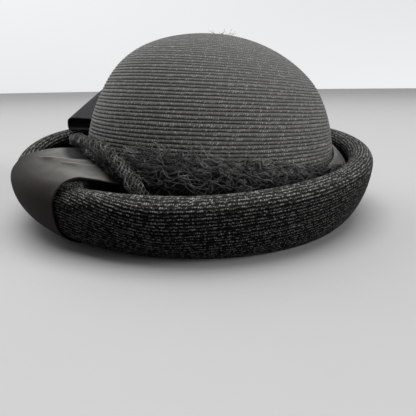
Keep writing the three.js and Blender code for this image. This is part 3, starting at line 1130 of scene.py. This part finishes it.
@dataclass
class StrawShell:
    """Sizes and sewing shared by the straw crown and brim."""

    row_pitch: float
    strand_pitch: float
    around: int
    relief: float
    waver: float
    profile: Profile
    seed: int
    fewest_strands: int = 6
    waver_waves: tuple[int, ...] = (2, 3, 5, 9, 16, 29)
    waver_sizes: Range = (0.2, 1.0)

    def turns(self) -> Array:
        """Azimuths of the columns."""
        return np.linspace(-180, 180, self.around, endpoint=False)

    def count_rows(self, lines: Sequence[Array]) -> int:
        """Number of sewn rows along sections of the straw."""
        return round(np.mean([along(line)[-1] for line in lines]) / self.row_pitch)

    def unevenness(self, rows: int) -> Array:
        """Hand-sewn waver of the rows.

        Args:
            rows: Number of rows.

        Returns:
            Waver in millimetres by row and azimuth.
        """
        rng = np.random.default_rng(self.seed)
        azimuth = np.radians(self.turns())
        total = np.zeros((rows, self.around))
        for waves in self.waver_waves:
            phase = rng.uniform(0, FULL_TURN, rows)[:, None]
            size = rng.uniform(*self.waver_sizes, rows)[:, None] / math.sqrt(waves)
            total += size * np.sin(azimuth * waves + phase)
        return self.waver * total

    @staticmethod
    def stations(profile: Profile, rows: int) -> tuple[Array, Array]:
        """Shares of the way over all rows, and the relief there, ring by ring."""
        places, heights = np.array(profile).T
        return np.add.outer(np.arange(rows), places).ravel() / rows, np.tile(heights, rows)

    def sew(self, skin: Skin, grid: Array, numbers: Array, profile: Profile, flip: bool) -> None:
        """Fills sewn rows with faces, and with a map that counts their strands.

        Args:
            skin: Skin to add to.
            grid: Points by ring and azimuth.
            numbers: Their numbers, with the first column repeated and one ring after the last row.
            profile: Places of the rings within a row.
            flip: Whether the rings are taken downwards, which turns the faces round.
        """
        per_row = len(profile)
        places = np.array([place for place, _ in profile] + [1.0])
        girths = np.linalg.norm(np.diff(closed(grid), axis=1), axis=-1).sum(axis=1)
        turn = np.append(self.turns(), 180.0) / 360
        order = slice(None, None, -1 if flip else 1)
        for row in range((len(numbers) - 1) // per_row):
            first = row * per_row
            block = numbers[first : first + per_row + 1][order]
            strands = max(round(girths[first + per_row // 2] / self.strand_pitch), self.fewest_strands)
            start = np.random.default_rng(self.seed + row).uniform()
            u = np.broadcast_to(turn * strands + start, block.shape)
            skin.add_quads(block, u, np.broadcast_to(row + places[order][:, None], block.shape))


@dataclass
class Crown(StrawShell):
    """Dome of sewn straw rows, calmer towards the tip, with a smooth inside."""

    row_pitch: float = 2.2
    strand_pitch: float = 1.35
    around: int = 264
    relief: float = 0.34
    waver: float = 0.3
    profile: Profile = ((0.0, -1.0), (0.15, 0.2), (0.45, 0.45), (0.8, -0.05))
    seed: int = 11
    top_calm: float = 0.7
    calm_range: Range = (0.4, 0.85)
    calm_foot: float = 8.0
    calm_tip: float = 6.0
    inner_rings: int = 36

    def build(self) -> None:
        """Builds the crown and the straw ends at its tip."""
        azimuth = self.turns()
        outer, inner = ([CROWN.meridian(a, cut) for a in azimuth] for cut in (0.0, CROWN.wall))
        rows = self.count_rows(outer)
        waver = self.unevenness(rows + 1)
        shares, heights = self.stations(self.profile, rows)
        rings = self.rings(outer, shares, waver, rows)
        flatter = self.relief * (1 - self.top_calm * smooth(shares, *self.calm_range))
        rings += grid_normals(rings, True) * (heights * flatter)[:, None, None]
        inside = self.rings(inner, np.linspace(0, 1, self.inner_rings, endpoint=False), 0 * waver, rows)
        skin = Skin()
        numbers = closed(skin.add_points(rings))
        inner_numbers = closed(skin.add_points(inside))
        tip, inner_tip = (
            np.full((1, numbers.shape[1]), skin.add_points(CROWN.tip(cut)[None])[0])
            for cut in (self.relief, CROWN.wall)
        )
        self.sew(skin, rings, np.concatenate([numbers, tip]), self.profile, False)
        below = np.concatenate([inner_numbers, inner_tip])[::-1]
        strands = FULL_TURN * CROWN.half_width / self.strand_pitch
        u = np.broadcast_to(np.append(azimuth, 180.0) / 360 * strands, below.shape)
        v = np.linspace(0, rows, self.inner_rings + 1)[::-1, None]
        skin.add_quads(below, u, np.broadcast_to(v, below.shape))
        skin.add_quads(np.stack([inner_numbers[0], numbers[0]]), u[:2], np.zeros_like(u[:2]))
        straw = CROWN_STRAW.material()
        settle(skin.object("straw_crown", straw), "crown")
        StrawEnds().build(straw)

    def rings(self, lines: Sequence[Array], shares: Array, waver: Array, rows: int) -> Array:
        """Points at shares of the way up each meridian.

        Args:
            lines: Meridians.
            shares: Shares of their length.
            waver: Unevenness by row and meridian, in millimetres.
            rows: Number of sewn rows.

        Returns:
            Points by ring and meridian.
        """
        out = np.zeros((len(shares), len(lines), 3))
        row = np.minimum(np.round(shares * rows).astype(int), len(waver) - 1)
        calm = np.minimum(shares * self.calm_foot, 1) * np.minimum((1 - shares) * self.calm_tip, 1)
        for j, line in enumerate(lines):
            walked = along(line)
            at = np.clip(shares * walked[-1] + waver[row, j] * calm, 0, walked[-1])
            for k in range(3):
                out[:, j, k] = np.interp(at, walked, line[:, k])
        return out


@dataclass
class StrawEnds:
    """Loose straw ends that stand up round the crown's tip."""

    count: int = 26
    seed: int = 12
    spread: float = 7.0
    stretch: float = 1.3
    droop: float = 0.012
    sink: float = 0.2
    lean_up: Range = (0.25, 0.9)
    length: Range = (2.0, 6.5)
    curl: Place = (1.68, 1.68, 0.7)
    points: int = 7
    radius: float = 0.09

    def build(self, straw: bpy.types.Material) -> None:
        """Builds the ends.

        Args:
            straw: The crown's own straw.
        """
        rng = np.random.default_rng(self.seed)
        t = np.linspace(0, 1, self.points)[:, None]
        lines = []
        for _ in range(self.count):
            turn = rng.uniform(0, FULL_TURN)
            r = self.spread * math.sqrt(rng.uniform(0.0, 1.0))
            offset = (self.stretch * r * math.cos(turn), r * math.sin(turn), -self.droop * r * r)
            lean = np.array([rng.normal(0, 1.0), rng.normal(0, 1.0), rng.uniform(*self.lean_up)])
            curl = rng.normal(0, 1.0, 3) * self.curl
            size = rng.uniform(*self.length)
            lines.append(CROWN.tip(self.sink) + offset + size * t * unit(lean) + curl * t**2)
        settle(thread_skin(lines, self.radius).object("straw_ends", straw))


@dataclass
class Brim(StrawShell):
    """Turned-up brim of sewn straw rows with a rolled lip; rows climb over it towards the ribbon."""

    row_pitch: float = 1.8
    strand_pitch: float = 1.0
    around: int = 300
    relief: float = 0.42
    waver: float = 0.2
    profile: Profile = ((0.0, -1.0), (0.3, 0.35), (0.7, 0.35))
    seed: int = 23
    inner_profile: Profile = ((0.0, -0.6), (0.5, 0.4))
    bed: float = 0.15
    calm_ends: float = 10.0
    climb: float = 15.0
    climb_power: float = 1.5
    climb_near: Range = (-5.0, -35.0)
    climb_far: Range = (-72.0, -45.0)

    def build(self) -> None:
        """Builds the brim."""
        points, normals = BRIM.path(self.turns())
        rows = self.count_rows(points)
        skin = Skin()
        sides = []
        for face, profile in ((1, self.profile), (-1, self.inner_profile)):
            shares, heights = self.stations(profile, rows)
            shares = np.append(shares, 1.0)
            heights = CROWN.wall / 2 - self.bed + self.relief * np.append(heights, -1.0)
            order = np.minimum((shares * rows).astype(int), rows - 1)
            grid = self.face_grid(points, normals, shares, heights * face, self.unevenness(rows)[order])
            numbers = closed(skin.add_points(grid))
            self.sew(skin, grid, numbers, profile, face > 0)
            sides.append(numbers)
        under, over = sides
        u = np.broadcast_to(np.append(self.turns(), 180.0), (2, self.around + 1))
        skin.add_quads(np.stack([under[0], over[0]]), u, np.zeros_like(u))
        skin.add_quads(np.stack([over[-1], under[-1]]), u, np.full_like(u, rows))
        settle(skin.object("straw_brim", BRIM_STRAW.material()), "brim")

    def face_grid(self, points: Array, normals: Array, shares: Array, heights: Array, waver: Array) -> Array:
        """Points of one face of the brim.

        Args:
            points: Middle of the straw by azimuth and step, in the spoke's plane.
            normals: Outward normals there.
            shares: Shares of the way along the section.
            heights: Distance from the middle of the straw at each share.
            waver: Unevenness of the rows by share and azimuth.

        Returns:
            Points by share and azimuth.
        """
        azimuth = self.turns()
        grid = np.zeros((len(shares), self.around, 3))
        calm = np.minimum(shares * self.calm_ends, 1) * np.minimum((1 - shares) * self.calm_ends, 1)
        climb = self.climb * smooth(azimuth, *self.climb_near) * smooth(azimuth, *self.climb_far)
        for j in range(self.around):
            walked = along(points[j])
            shift = waver[:, j] * calm + climb[j] * np.sin(math.pi * shares) ** self.climb_power
            at = np.clip(shares * walked[-1] + shift, 0, walked[-1])
            s, z = (np.interp(at, walked, points[j, :, k]) for k in range(2))
            ns, nz = (np.interp(at, walked, normals[j, :, k]) for k in range(2))
            off = heights / np.hypot(ns, nz)
            cut = BRIM.section(azimuth[j : j + 1])
            grid[:, j] = cut.place(s + ns * off, np.maximum(z + nz * off, 0.0))
        return grid


@dataclass(frozen=True)
class BandRow:
    """Height of the ribbon band's upper edge at an azimuth."""

    at: float
    top: float


@dataclass(frozen=True)
class BandForm:
    """Where the ribbon round the crown lies, in millimetres."""

    tops: tuple[BandRow, ...] = (
        BandRow(-180, 42),
        BandRow(-120, 43),
        BandRow(-60, 44.5),
        BandRow(-25, 45.5),
        BandRow(0, 44),
        BandRow(25, 40),
        BandRow(45, 37),
        BandRow(62, 37.5),
        BandRow(78, 42),
        BandRow(95, 43.5),
        BandRow(140, 42),
    )
    bottom_z: float = 12.5
    thickness: float = 0.9
    stand_off: float = 0.52
    flare: float = 11.0
    flare_at: float = 88.0
    flare_spread: float = 40.0
    flare_turn: float = 0.78
    flare_power: float = 0.85

    def top_z(self, azimuth: Array) -> Array:
        """Height of the upper edge."""
        return column(self.tops, "top", azimuth, True)

    def off(self, azimuth: Array, z: Array) -> Array:
        """Distance of the band's inner face from the crown.

        Args:
            azimuth: Degrees from the front.
            z: Heights.

        Returns:
            The distance at each place.
        """
        top = self.top_z(azimuth)
        low = np.clip((top - z) / (top - self.bottom_z), 0.0, 1.0)
        flare = self.flare * hump(azimuth, self.flare_at, self.flare_spread)
        return self.stand_off + flare * np.sin(low * math.pi * self.flare_turn) ** self.flare_power


BAND = BandForm()


@dataclass
class HatBand:
    """Ribbon stretched round the foot of the crown."""

    around: int = 240
    up: int = 14
    seed: int = 5
    creases: Waves = (18.0, 60.0, 0.25)
    mm_per_degree: float = 1.7
    flat: Size = (0.032, 0.61)

    def build(self) -> None:
        """Builds the band."""
        azimuth = np.linspace(-180, 180, self.around, endpoint=False)[None, :]
        z = lerp(BAND.bottom_z, BAND.top_z(azimuth), np.linspace(0, 1, self.up)[:, None])
        crease = Ripple(self.seed, self.creases)(azimuth * self.mm_per_degree, z)
        crease = crease * hump(azimuth, BAND.flare_at, BAND.flare_spread)
        grid = CROWN.beside(azimuth, z, BAND.off(azimuth, z) + BAND.thickness / 2 + crease)
        item = ribbon_skin(grid, BAND.thickness, True).object("ribbon_band", BAND_RIBBON.material())
        settle(item, "hat_band")


@dataclass(frozen=True)
class WrapRow:
    """Station of the wrapped ribbon: azimuth of its near and far edges, and their lift off the straw."""

    at: float
    near: float
    far: float
    lift_near: float
    lift_far: float


@dataclass(frozen=True)
class WrapEnd:
    """Inner end of one edge of the wrapped ribbon beside the crown."""

    azimuth: float
    stand_off: float
    z: float
    arch: float


@dataclass(frozen=True)
class Pleat:
    """Pleat of the wrapped ribbon, whose crest sweeps towards the near edge on its way to the crown.

    The crest is a share of the width at the crown, the sweep is how much further back it lies at the lip,
    and the pleat begins at a share of the way inwards.
    """

    crest: float
    sweep: float
    height: float
    begins: float


@dataclass
class RibbonWrap:
    """Wide ribbon from the foot of the crown over the lip and down the outside of the brim."""

    rows: tuple[WrapRow, ...] = (
        WrapRow(-68, -38, -69.5, 0.1, 0.1),
        WrapRow(-59, -37.4, -69, 0.1, 0.1),
        WrapRow(-47, -36.7, -68.5, 0.1, 0.1),
        WrapRow(-34, -35.2, -68, 0.1, 0.1),
        WrapRow(-20, -33.8, -67.5, 0.2, 0.2),
        WrapRow(-6, -32.8, -67, 0.5, 0.3),
        WrapRow(16, -31.8, -66.5, 1.3, 0.1),
        WrapRow(42, -31, -66.5, 2.4, 0.3),
        WrapRow(70, -30.2, -67.5, 3.6, 1.2),
        WrapRow(98, -29, -70.5, 4.6, 3.2),
    )
    near: WrapEnd = WrapEnd(-30, 5.9, 33, 0.5)
    far: WrapEnd = WrapEnd(-74, 5.3, 45.0, 1.8)
    tuck_rise: float = 4.0
    pleats: tuple[Pleat, ...] = (Pleat(0.44, 0.66, 2.2, 0.2), Pleat(0.31, 0.76, 1.6, 0.45))
    pleat_rise: float = 0.3
    pleat_fall: float = 0.06
    pleat_grow: float = 0.25
    pleat_fade: float = 0.4
    across: int = 110
    length: int = 160
    lip_steps: int = 40
    span_steps: int = 60
    thickness: float = 0.7
    clear: float = 2.2
    edge_power: float = 16.0
    far_power: float = 0.8
    flat: Size = (0.075, 0.1)

    def build(self) -> None:
        """Builds the ribbon."""
        v = np.linspace(0, 1, self.across)
        outside = np.linspace(self.rows[0].at, self.rows[-1].at, self.lip_steps)
        over = np.stack([self.station(turn, v) for turn in outside])
        end = CROWN.beside(
            lerp(self.near.azimuth, self.far.azimuth, v),
            lerp(self.near.z, self.far.z, v) + self.tuck_rise * np.sin(math.pi * v),
            lerp(self.near.stand_off, self.far.stand_off, v),
        )
        arch = lerp(self.near.arch, self.far.arch, v)
        span = []
        for t in np.linspace(0, 1, self.span_steps)[1:]:
            line = lerp(over[-1], end, t)
            line[:, 2] += arch * math.sin(math.pi * t) + self.pleated(v, t)
            span.append(line)
        grid = spline_grid(np.concatenate([over, np.stack(span)])[::-1], self.length)
        item = ribbon_skin(grid, self.thickness, False).object("ribbon_over_brim", WRAP_RIBBON.material())
        settle(item, "ribbon_wrap")

    def pleated(self, v: Array, t: float) -> Array:
        """Height of the pleats.

        Args:
            v: Places across the ribbon, from 0 at the near edge to 1.
            t: Share of the way from the lip to the crown.

        Returns:
            Height at each place: a slow rise to each crest, and a sharp fall behind it.
        """
        total = np.zeros_like(v)
        for pleat in self.pleats:
            past = v - pleat.crest - pleat.sweep * (1 - t) ** 2
            rise = np.clip(1 + past / self.pleat_rise, 0.0, 1.0) ** 2
            fall = 1 - smooth(past, 0.0, self.pleat_fall)
            total += pleat.height * rise * fall * smooth(t, pleat.begins, pleat.begins + self.pleat_grow)
        return total * (1 - self.pleat_fade * t)

    def station(self, turn: float, v: Array) -> Array:
        """Line across the ribbon where it lies on the brim.

        Args:
            turn: Turn round the brim's section.
            v: Places across the ribbon.

        Returns:
            Points across the ribbon.
        """
        row = {name: column(self.rows, name, turn) for name in ("near", "far", "lift_near", "lift_far")}
        cut = BRIM.section(lerp(row["near"], row["far"], v))
        lift = (1 - v) ** self.edge_power * row["lift_near"] + v**self.far_power * row["lift_far"]
        off = self.clear + lift
        s, z, ns, nz = cut.at(np.full_like(v, turn))
        return cut.place(s + ns * off, z + nz * off)


@dataclass(frozen=True)
class BowEdge:
    """One edge of the bow loop: its tuck at the crown, its fold, and how its layers swell between them."""

    azimuth: float
    top_z: float
    low_z: float
    fold_top: Place
    fold_low: Place
    rise: float
    low_rise: float
    bulge: float
    squareness: float


@dataclass
class BowLoop:
    """Loop of ribbon that stands behind the crown and rests on the rim."""

    near: BowEdge = BowEdge(-117, 55, 47.5, (-116.5, 44, 60.0), (-117, 44, 50.4), 1.2, 0.8, 3.2, 0.6)
    far: BowEdge = BowEdge(-150, 68, 61, (-91, 92, 88), (-92, 92, 74), 3.0, -1.5, 6.0, 0.9)
    across: int = 40
    length: int = 90
    layer_steps: int = 6
    fold_steps: int = 13
    thickness: float = 0.7
    stand_off: float = 1.05
    dip: float = 1.1
    flat: Size = (0.06, 0.11)

    def build(self) -> None:
        """Builds the loop."""
        v = np.linspace(0, 1, self.across)[:, None]
        edge = {
            name: lerp(np.array(getattr(self.near, name)), np.array(getattr(self.far, name)), v)
            for name in BowEdge.__dataclass_fields__
        }
        fold_top, fold_low = edge["fold_top"], edge["fold_low"]
        azimuth = edge["azimuth"][:, 0]
        top, low = (CROWN.beside(azimuth, edge[name][:, 0], self.stand_off) for name in ("top_z", "low_z"))
        out = unit((fold_top - top) * np.array([1, 1, 0]))
        up = np.array([0, 0, 1])
        lines = []
        for t in np.linspace(0, 1, self.layer_steps)[:-1]:
            rise = edge["rise"] * math.sin(math.pi * t) - self.dip * np.sin(math.pi * v) * (1 - t)
            lines.append(lerp(top, fold_top, t) + up * rise)
        for turn in np.radians(np.linspace(0, 180, self.fold_steps)):
            share = np.copysign(abs(math.cos(turn)) ** edge["squareness"], math.cos(turn))
            push = edge["bulge"] * max(math.sin(turn), 0.0) ** edge["squareness"]
            lines.append(lerp(fold_top, fold_low, (1 - share) / 2) + out * push)
        for t in np.linspace(0, 1, self.layer_steps)[1:]:
            lines.append(lerp(fold_low, low, t) + up * edge["low_rise"] * math.sin(math.pi * t))
        grid = spline_grid(np.stack(lines), self.length)
        item = ribbon_skin(grid, self.thickness, False).object("ribbon_bow", BOW_RIBBON.material())
        settle(item, "bow_loop")


@dataclass(frozen=True)
class VeilRow:
    """Section of the veil at an azimuth: its top, and how far it bulges low in the trough."""

    at: float
    top: float
    bulge: float


@dataclass
class VeilBand:
    """Net crumpled round the front of the crown: diamond mesh in several layers."""

    rows: tuple[VeilRow, ...] = (
        VeilRow(-100, 38, 0.8),
        VeilRow(-85, 42, 1.2),
        VeilRow(-60, 45.5, 1.2),
        VeilRow(-40, 48.5, 1.5),
        VeilRow(-24, 53, 4.0),
        VeilRow(-8, 53, 6),
        VeilRow(8, 50, 8),
        VeilRow(25, 45.5, 9),
        VeilRow(42, 40, 7.5),
        VeilRow(58, 35.5, 4),
        VeilRow(72, 31, 1.2),
    )
    bottom_z: float = 13.5
    clear: float = 0.5
    starts: tuple[float, ...] = (0.1, 0.4, 0.55)
    cell: Size = (9.5, 6.5)
    net_length: float = 330.0
    net_width: float = 44.0
    thread: float = 0.25
    step: float = 1.0
    seed: int = 41
    layer_seeds: int = 10
    layer_shift: float = 0.37
    slide: Waves = (12.0, 50.0, 4.0)
    lift: Waves = (12.0, 44.0, 3.2)
    deep: Waves = (9.0, 34.0, 0.45)
    curl: Waves = (4.5, 11.0, 0.9)
    curl_turn: float = 0.35
    curl_in: float = -0.3
    deepest: float = 0.02
    past_edge: float = 1.08
    belly: Range = (0.2, 1.05)
    belly_power: float = 1.2
    belly_fall: float = 0.55
    thinnest: float = 1.2

    def build(self) -> None:
        """Builds the net."""
        lines = []
        for layer in range(len(self.starts)):
            shift = self.layer_shift * layer
            for line in diamond_lines(self.net_length, self.net_width, self.cell, self.step, shift):
                lines.append(self.crumple(line[:, 0], line[:, 1], layer))
        item = thread_skin(lines, self.thread).object("veil_net_band", VEIL_NET.material())
        settle(item, "veil_band")

    def crumple(self, s: Array, w: Array, layer: int) -> Array:
        """Lays flat net into its place round the crown.

        Args:
            s: Distance along the net.
            w: Distance across it.
            layer: Number of the layer.

        Returns:
            Points of the net.
        """
        seed = self.seed + self.layer_seeds * layer
        waves = (self.slide, self.lift, self.deep, self.curl, self.curl, self.curl)
        slide, lift, deep, *curl = (Ripple(seed + k, wave)(s, w) for k, wave in enumerate(waves))
        first = self.rows[0].at
        last = self.rows[-1].at
        azimuth = np.clip(first + (last - first) * (s + slide) / self.net_length, first, last)
        t = lerp(self.starts[layer], 1.0, np.clip((w + lift) / self.net_width, 0.0, self.past_edge))
        z = lerp(self.bottom_z, column(self.rows, "top", azimuth), t)
        belly = np.sin(math.pi * np.minimum(lerp(*self.belly, t), 1.0)) ** self.belly_power
        belly = belly * (1 - self.belly_fall * np.minimum(t, 1))
        thick = self.thinnest + column(self.rows, "bulge", azimuth) * belly
        share = np.clip((layer + 0.5) / len(self.starts) + deep, self.deepest, self.past_edge)
        base = BAND.off(azimuth, z) + BAND.thickness + self.clear
        off = base + thick * share + np.maximum(curl[2], self.curl_in)
        return CROWN.beside(azimuth + self.curl_turn * curl[0], z + curl[1], off)


def diamond_lines(length: float, width: float, cell: Size, step: float, shift: float) -> list[Array]:
    """Threads of a diamond net with whole meshes along its edges, flat.

    Args:
        length: Length of the net.
        width: Width of the net.
        cell: Length and width of one diamond.
        step: Distance between points of a thread.
        shift: Share of a cell by which the net starts later.

    Returns:
        Lines of points along and across the net.
    """
    pitch = cell[0]
    reach = pitch * round(width / cell[1])
    count = max(int(math.hypot(reach, width) / step), 2)
    t = np.linspace(0, 1, count)
    lines = []
    for way in (1, -1):
        first = -reach if way > 0 else 0.0
        for k in range(int((length + reach) / pitch) + 1):
            s = first + (k + shift) * pitch + way * reach * t
            inside = (s >= 0) & (s <= length)
            if inside.sum() >= SHORTEST_THREAD:
                lines.append(np.stack([s[inside], width * t[inside]], axis=1))
    return lines


@dataclass(frozen=True)
class RopeRow:
    """Centre and radius of the twisted veil."""

    x: float
    y: float
    z: float
    radius: float


@dataclass
class VeilTwist:
    """End of the veil twisted into a loose rope from behind the ribbon to the front trough."""

    rows: tuple[RopeRow, ...] = (
        RopeRow(-100.5, 33, 24, 3.0),
        RopeRow(-105, 22, 37, 3.1),
        RopeRow(-103, 4, 46, 3.3),
        RopeRow(-91, -26, 51.3, 3.9),
        RopeRow(-75.6, -57.2, 54, 4.4),
        RopeRow(-61.2, -76.6, 52, 4.7),
        RopeRow(-50.6, -87.1, 46.4, 4.3),
        RopeRow(-44.2, -94, 40.8, 4.3),
        RopeRow(-39.8, -99.2, 36.1, 4.5),
        RopeRow(-36, -103, 32, 4.4),
        RopeRow(-33.6, -105.6, 27.5, 3.8),
    )
    shells: tuple[tuple[float, int], ...] = ((0.9, 7), (0.6, 3))
    turn_length: float = 62.0
    cross_length: float = 27.0
    thread: float = 0.27
    step: float = 0.9
    shell_turn: float = 0.31
    lobe: float = 0.45
    seed: int = 77
    bulge: Waves = (9.0, 40.0, 0.09)
    stray_seed: int = 97
    stray: Waves = (4.5, 12.0, 1.0)
    stray_off: float = 0.4
    stray_turn: float = 0.2

    def build(self) -> None:
        """Builds the rope of net."""
        rows = np.array([(row.x, row.y, row.z, row.radius) for row in self.rows])
        length = along(rows[:, :3])[-1]
        line = spline(rows, int(length / self.step))
        middle = line[:, :3]
        radius = line[:, 3]
        ahead = unit(np.gradient(middle, axis=0))
        side = unit(np.cross(np.array([0.0, 0.0, 1.0]), ahead))
        up = np.cross(ahead, side)
        s = along(middle)
        lines = []
        for shell, (share, threads) in enumerate(self.shells):
            bulge = Ripple(self.seed + shell, self.bulge)
            stray = Ripple(self.stray_seed + shell, self.stray)
            for k in range(threads):
                for lean in (1, -1):
                    turn = FULL_TURN * (k / threads + self.shell_turn * shell)
                    turn = turn + FULL_TURN * s * (1 / self.turn_length + lean / self.cross_length)
                    east = s + radius * np.cos(turn)
                    north = radius * np.sin(turn)
                    r = radius * share * (1 + bulge(east, north)) + self.stray_off * stray(east, north)
                    lobes = self.lobe * (np.cos(2 * (turn - FULL_TURN * s / self.turn_length)) - 1)
                    wob = turn + self.stray_turn * stray(north, east)
                    ring = side * np.cos(wob)[:, None] + up * np.sin(wob)[:, None]
                    lines.append(middle + ring * (r + lobes)[:, None])
        item = thread_skin(lines, self.thread).object("veil_net_twist", TWIST_NET.material())
        settle(item, "veil_twist")


class LampKind(Enum):
    """Kinds of lamp: a square panel, or wide even daylight."""

    PANEL = "AREA"
    DAYLIGHT = "SUN"


@dataclass(frozen=True)
class Lamp:
    """Soft lamp, whose spread is a panel's side in metres or the daylight's angle in degrees."""

    name: str
    kind: LampKind
    place: Place
    spread: float
    strength: float

    def build(self) -> None:
        """Builds the lamp and points it at the hat."""
        data = bpy.data.lights.new(self.name, self.kind.value)
        data.energy = self.strength
        if self.kind is LampKind.PANEL:
            data.size = self.spread
        else:
            data.angle = math.radians(self.spread)
        item = bpy.data.objects.new(self.name, data)
        item.location = self.place
        item.rotation_mode = "QUATERNION"
        item.rotation_quaternion = Vector(self.place).to_track_quat("Z", "Y")
        bpy.context.scene.collection.objects.link(item)


@dataclass
class Studio:
    """Floor, soft light, and the camera at the photograph's angle; lengths in metres."""

    frame_px: float = 416.0
    focal_px: float = 398.3
    sensor_mm: float = 36.0
    clip_start: float = 0.01
    camera: Place = (0.0094, -0.3037, 0.0865)
    pitch_deg: float = 17.27
    roll_deg: float = -0.73
    floor_radius: float = 6.0
    floor_sides: int = 64
    sky: Colour = (0.97, 0.985, 1.0)
    front_to_back: Ramp = (-0.2, 0.85, 0.2, 0.86)
    side_share: float = 0.4
    left_share: float = 1.2
    lamps: tuple[Lamp, ...] = (
        Lamp("overhead", LampKind.PANEL, (-0.05, -0.1, 2.35), 2.0, 68.0),
        Lamp("side", LampKind.DAYLIGHT, (2.3, -0.7, 0.65), 28.0, 3.0),
        Lamp("back", LampKind.DAYLIGHT, (-1.4, 1.5, 1.3), 50.0, 0.9),
    )

    def build(self) -> None:
        """Builds the stage."""
        self.set_camera()
        self.set_light()
        mesh = bpy.data.meshes.new("floor")
        turn = np.linspace(0, FULL_TURN, self.floor_sides, endpoint=False)
        ring = np.stack([np.cos(turn), np.sin(turn), 0 * turn], axis=1) * self.floor_radius
        mesh.from_pydata(ring.tolist(), [], [list(range(self.floor_sides))])
        link("floor", mesh, PALE_FLOOR.material())

    def set_camera(self) -> None:
        """Makes the camera and gives it to the scene."""
        data = bpy.data.cameras.new("camera")
        data.sensor_fit = "HORIZONTAL"
        data.sensor_width = self.sensor_mm
        data.lens = self.focal_px / self.frame_px * self.sensor_mm
        data.clip_start = self.clip_start
        item = bpy.data.objects.new("camera", data)
        look = Matrix.Rotation(math.radians(90 - self.pitch_deg), 4, "X")
        roll = Matrix.Rotation(math.radians(self.roll_deg), 4, "Z")
        item.matrix_world = Matrix.Translation(Vector(self.camera)) @ look @ roll
        bpy.context.scene.collection.objects.link(item)
        bpy.context.scene.camera = item

    def set_light(self) -> None:
        """Makes a surround that is paler at the back and at the upper left, and soft lamps."""
        scene = bpy.context.scene
        scene.world = bpy.data.worlds.new("surround")
        bench = Bench(scene.world)
        way = bench.node("ShaderNodeTexCoord", {}, {}, "Generated")
        level = way.part("Y").ease(*self.front_to_back)
        lean = (1.0 - level) * self.side_share - way.part("Z") * self.left_share
        level = level * (1.0 + way.part("X") * lean)
        glow = bench.node("ShaderNodeBackground", {}, {"Color": (*self.sky, 1.0), "Strength": level})
        bench.close(glow, "ShaderNodeOutputWorld")
        scene.view_settings.view_transform = "Standard"
        scene.view_settings.look = "None"
        for lamp in self.lamps:
            lamp.build()


def main() -> None:
    """Builds the stage and each piece of the hat."""
    logging.basicConfig(level=logging.INFO, format="%(name)s %(message)s")
    Studio().build()
    for piece in (Crown(), Brim(), HatBand(), RibbonWrap(), BowLoop(), VeilBand(), VeilTwist()):
        piece.build()
    bpy.context.view_layer.update()


if __name__ == "__main__":
    main()
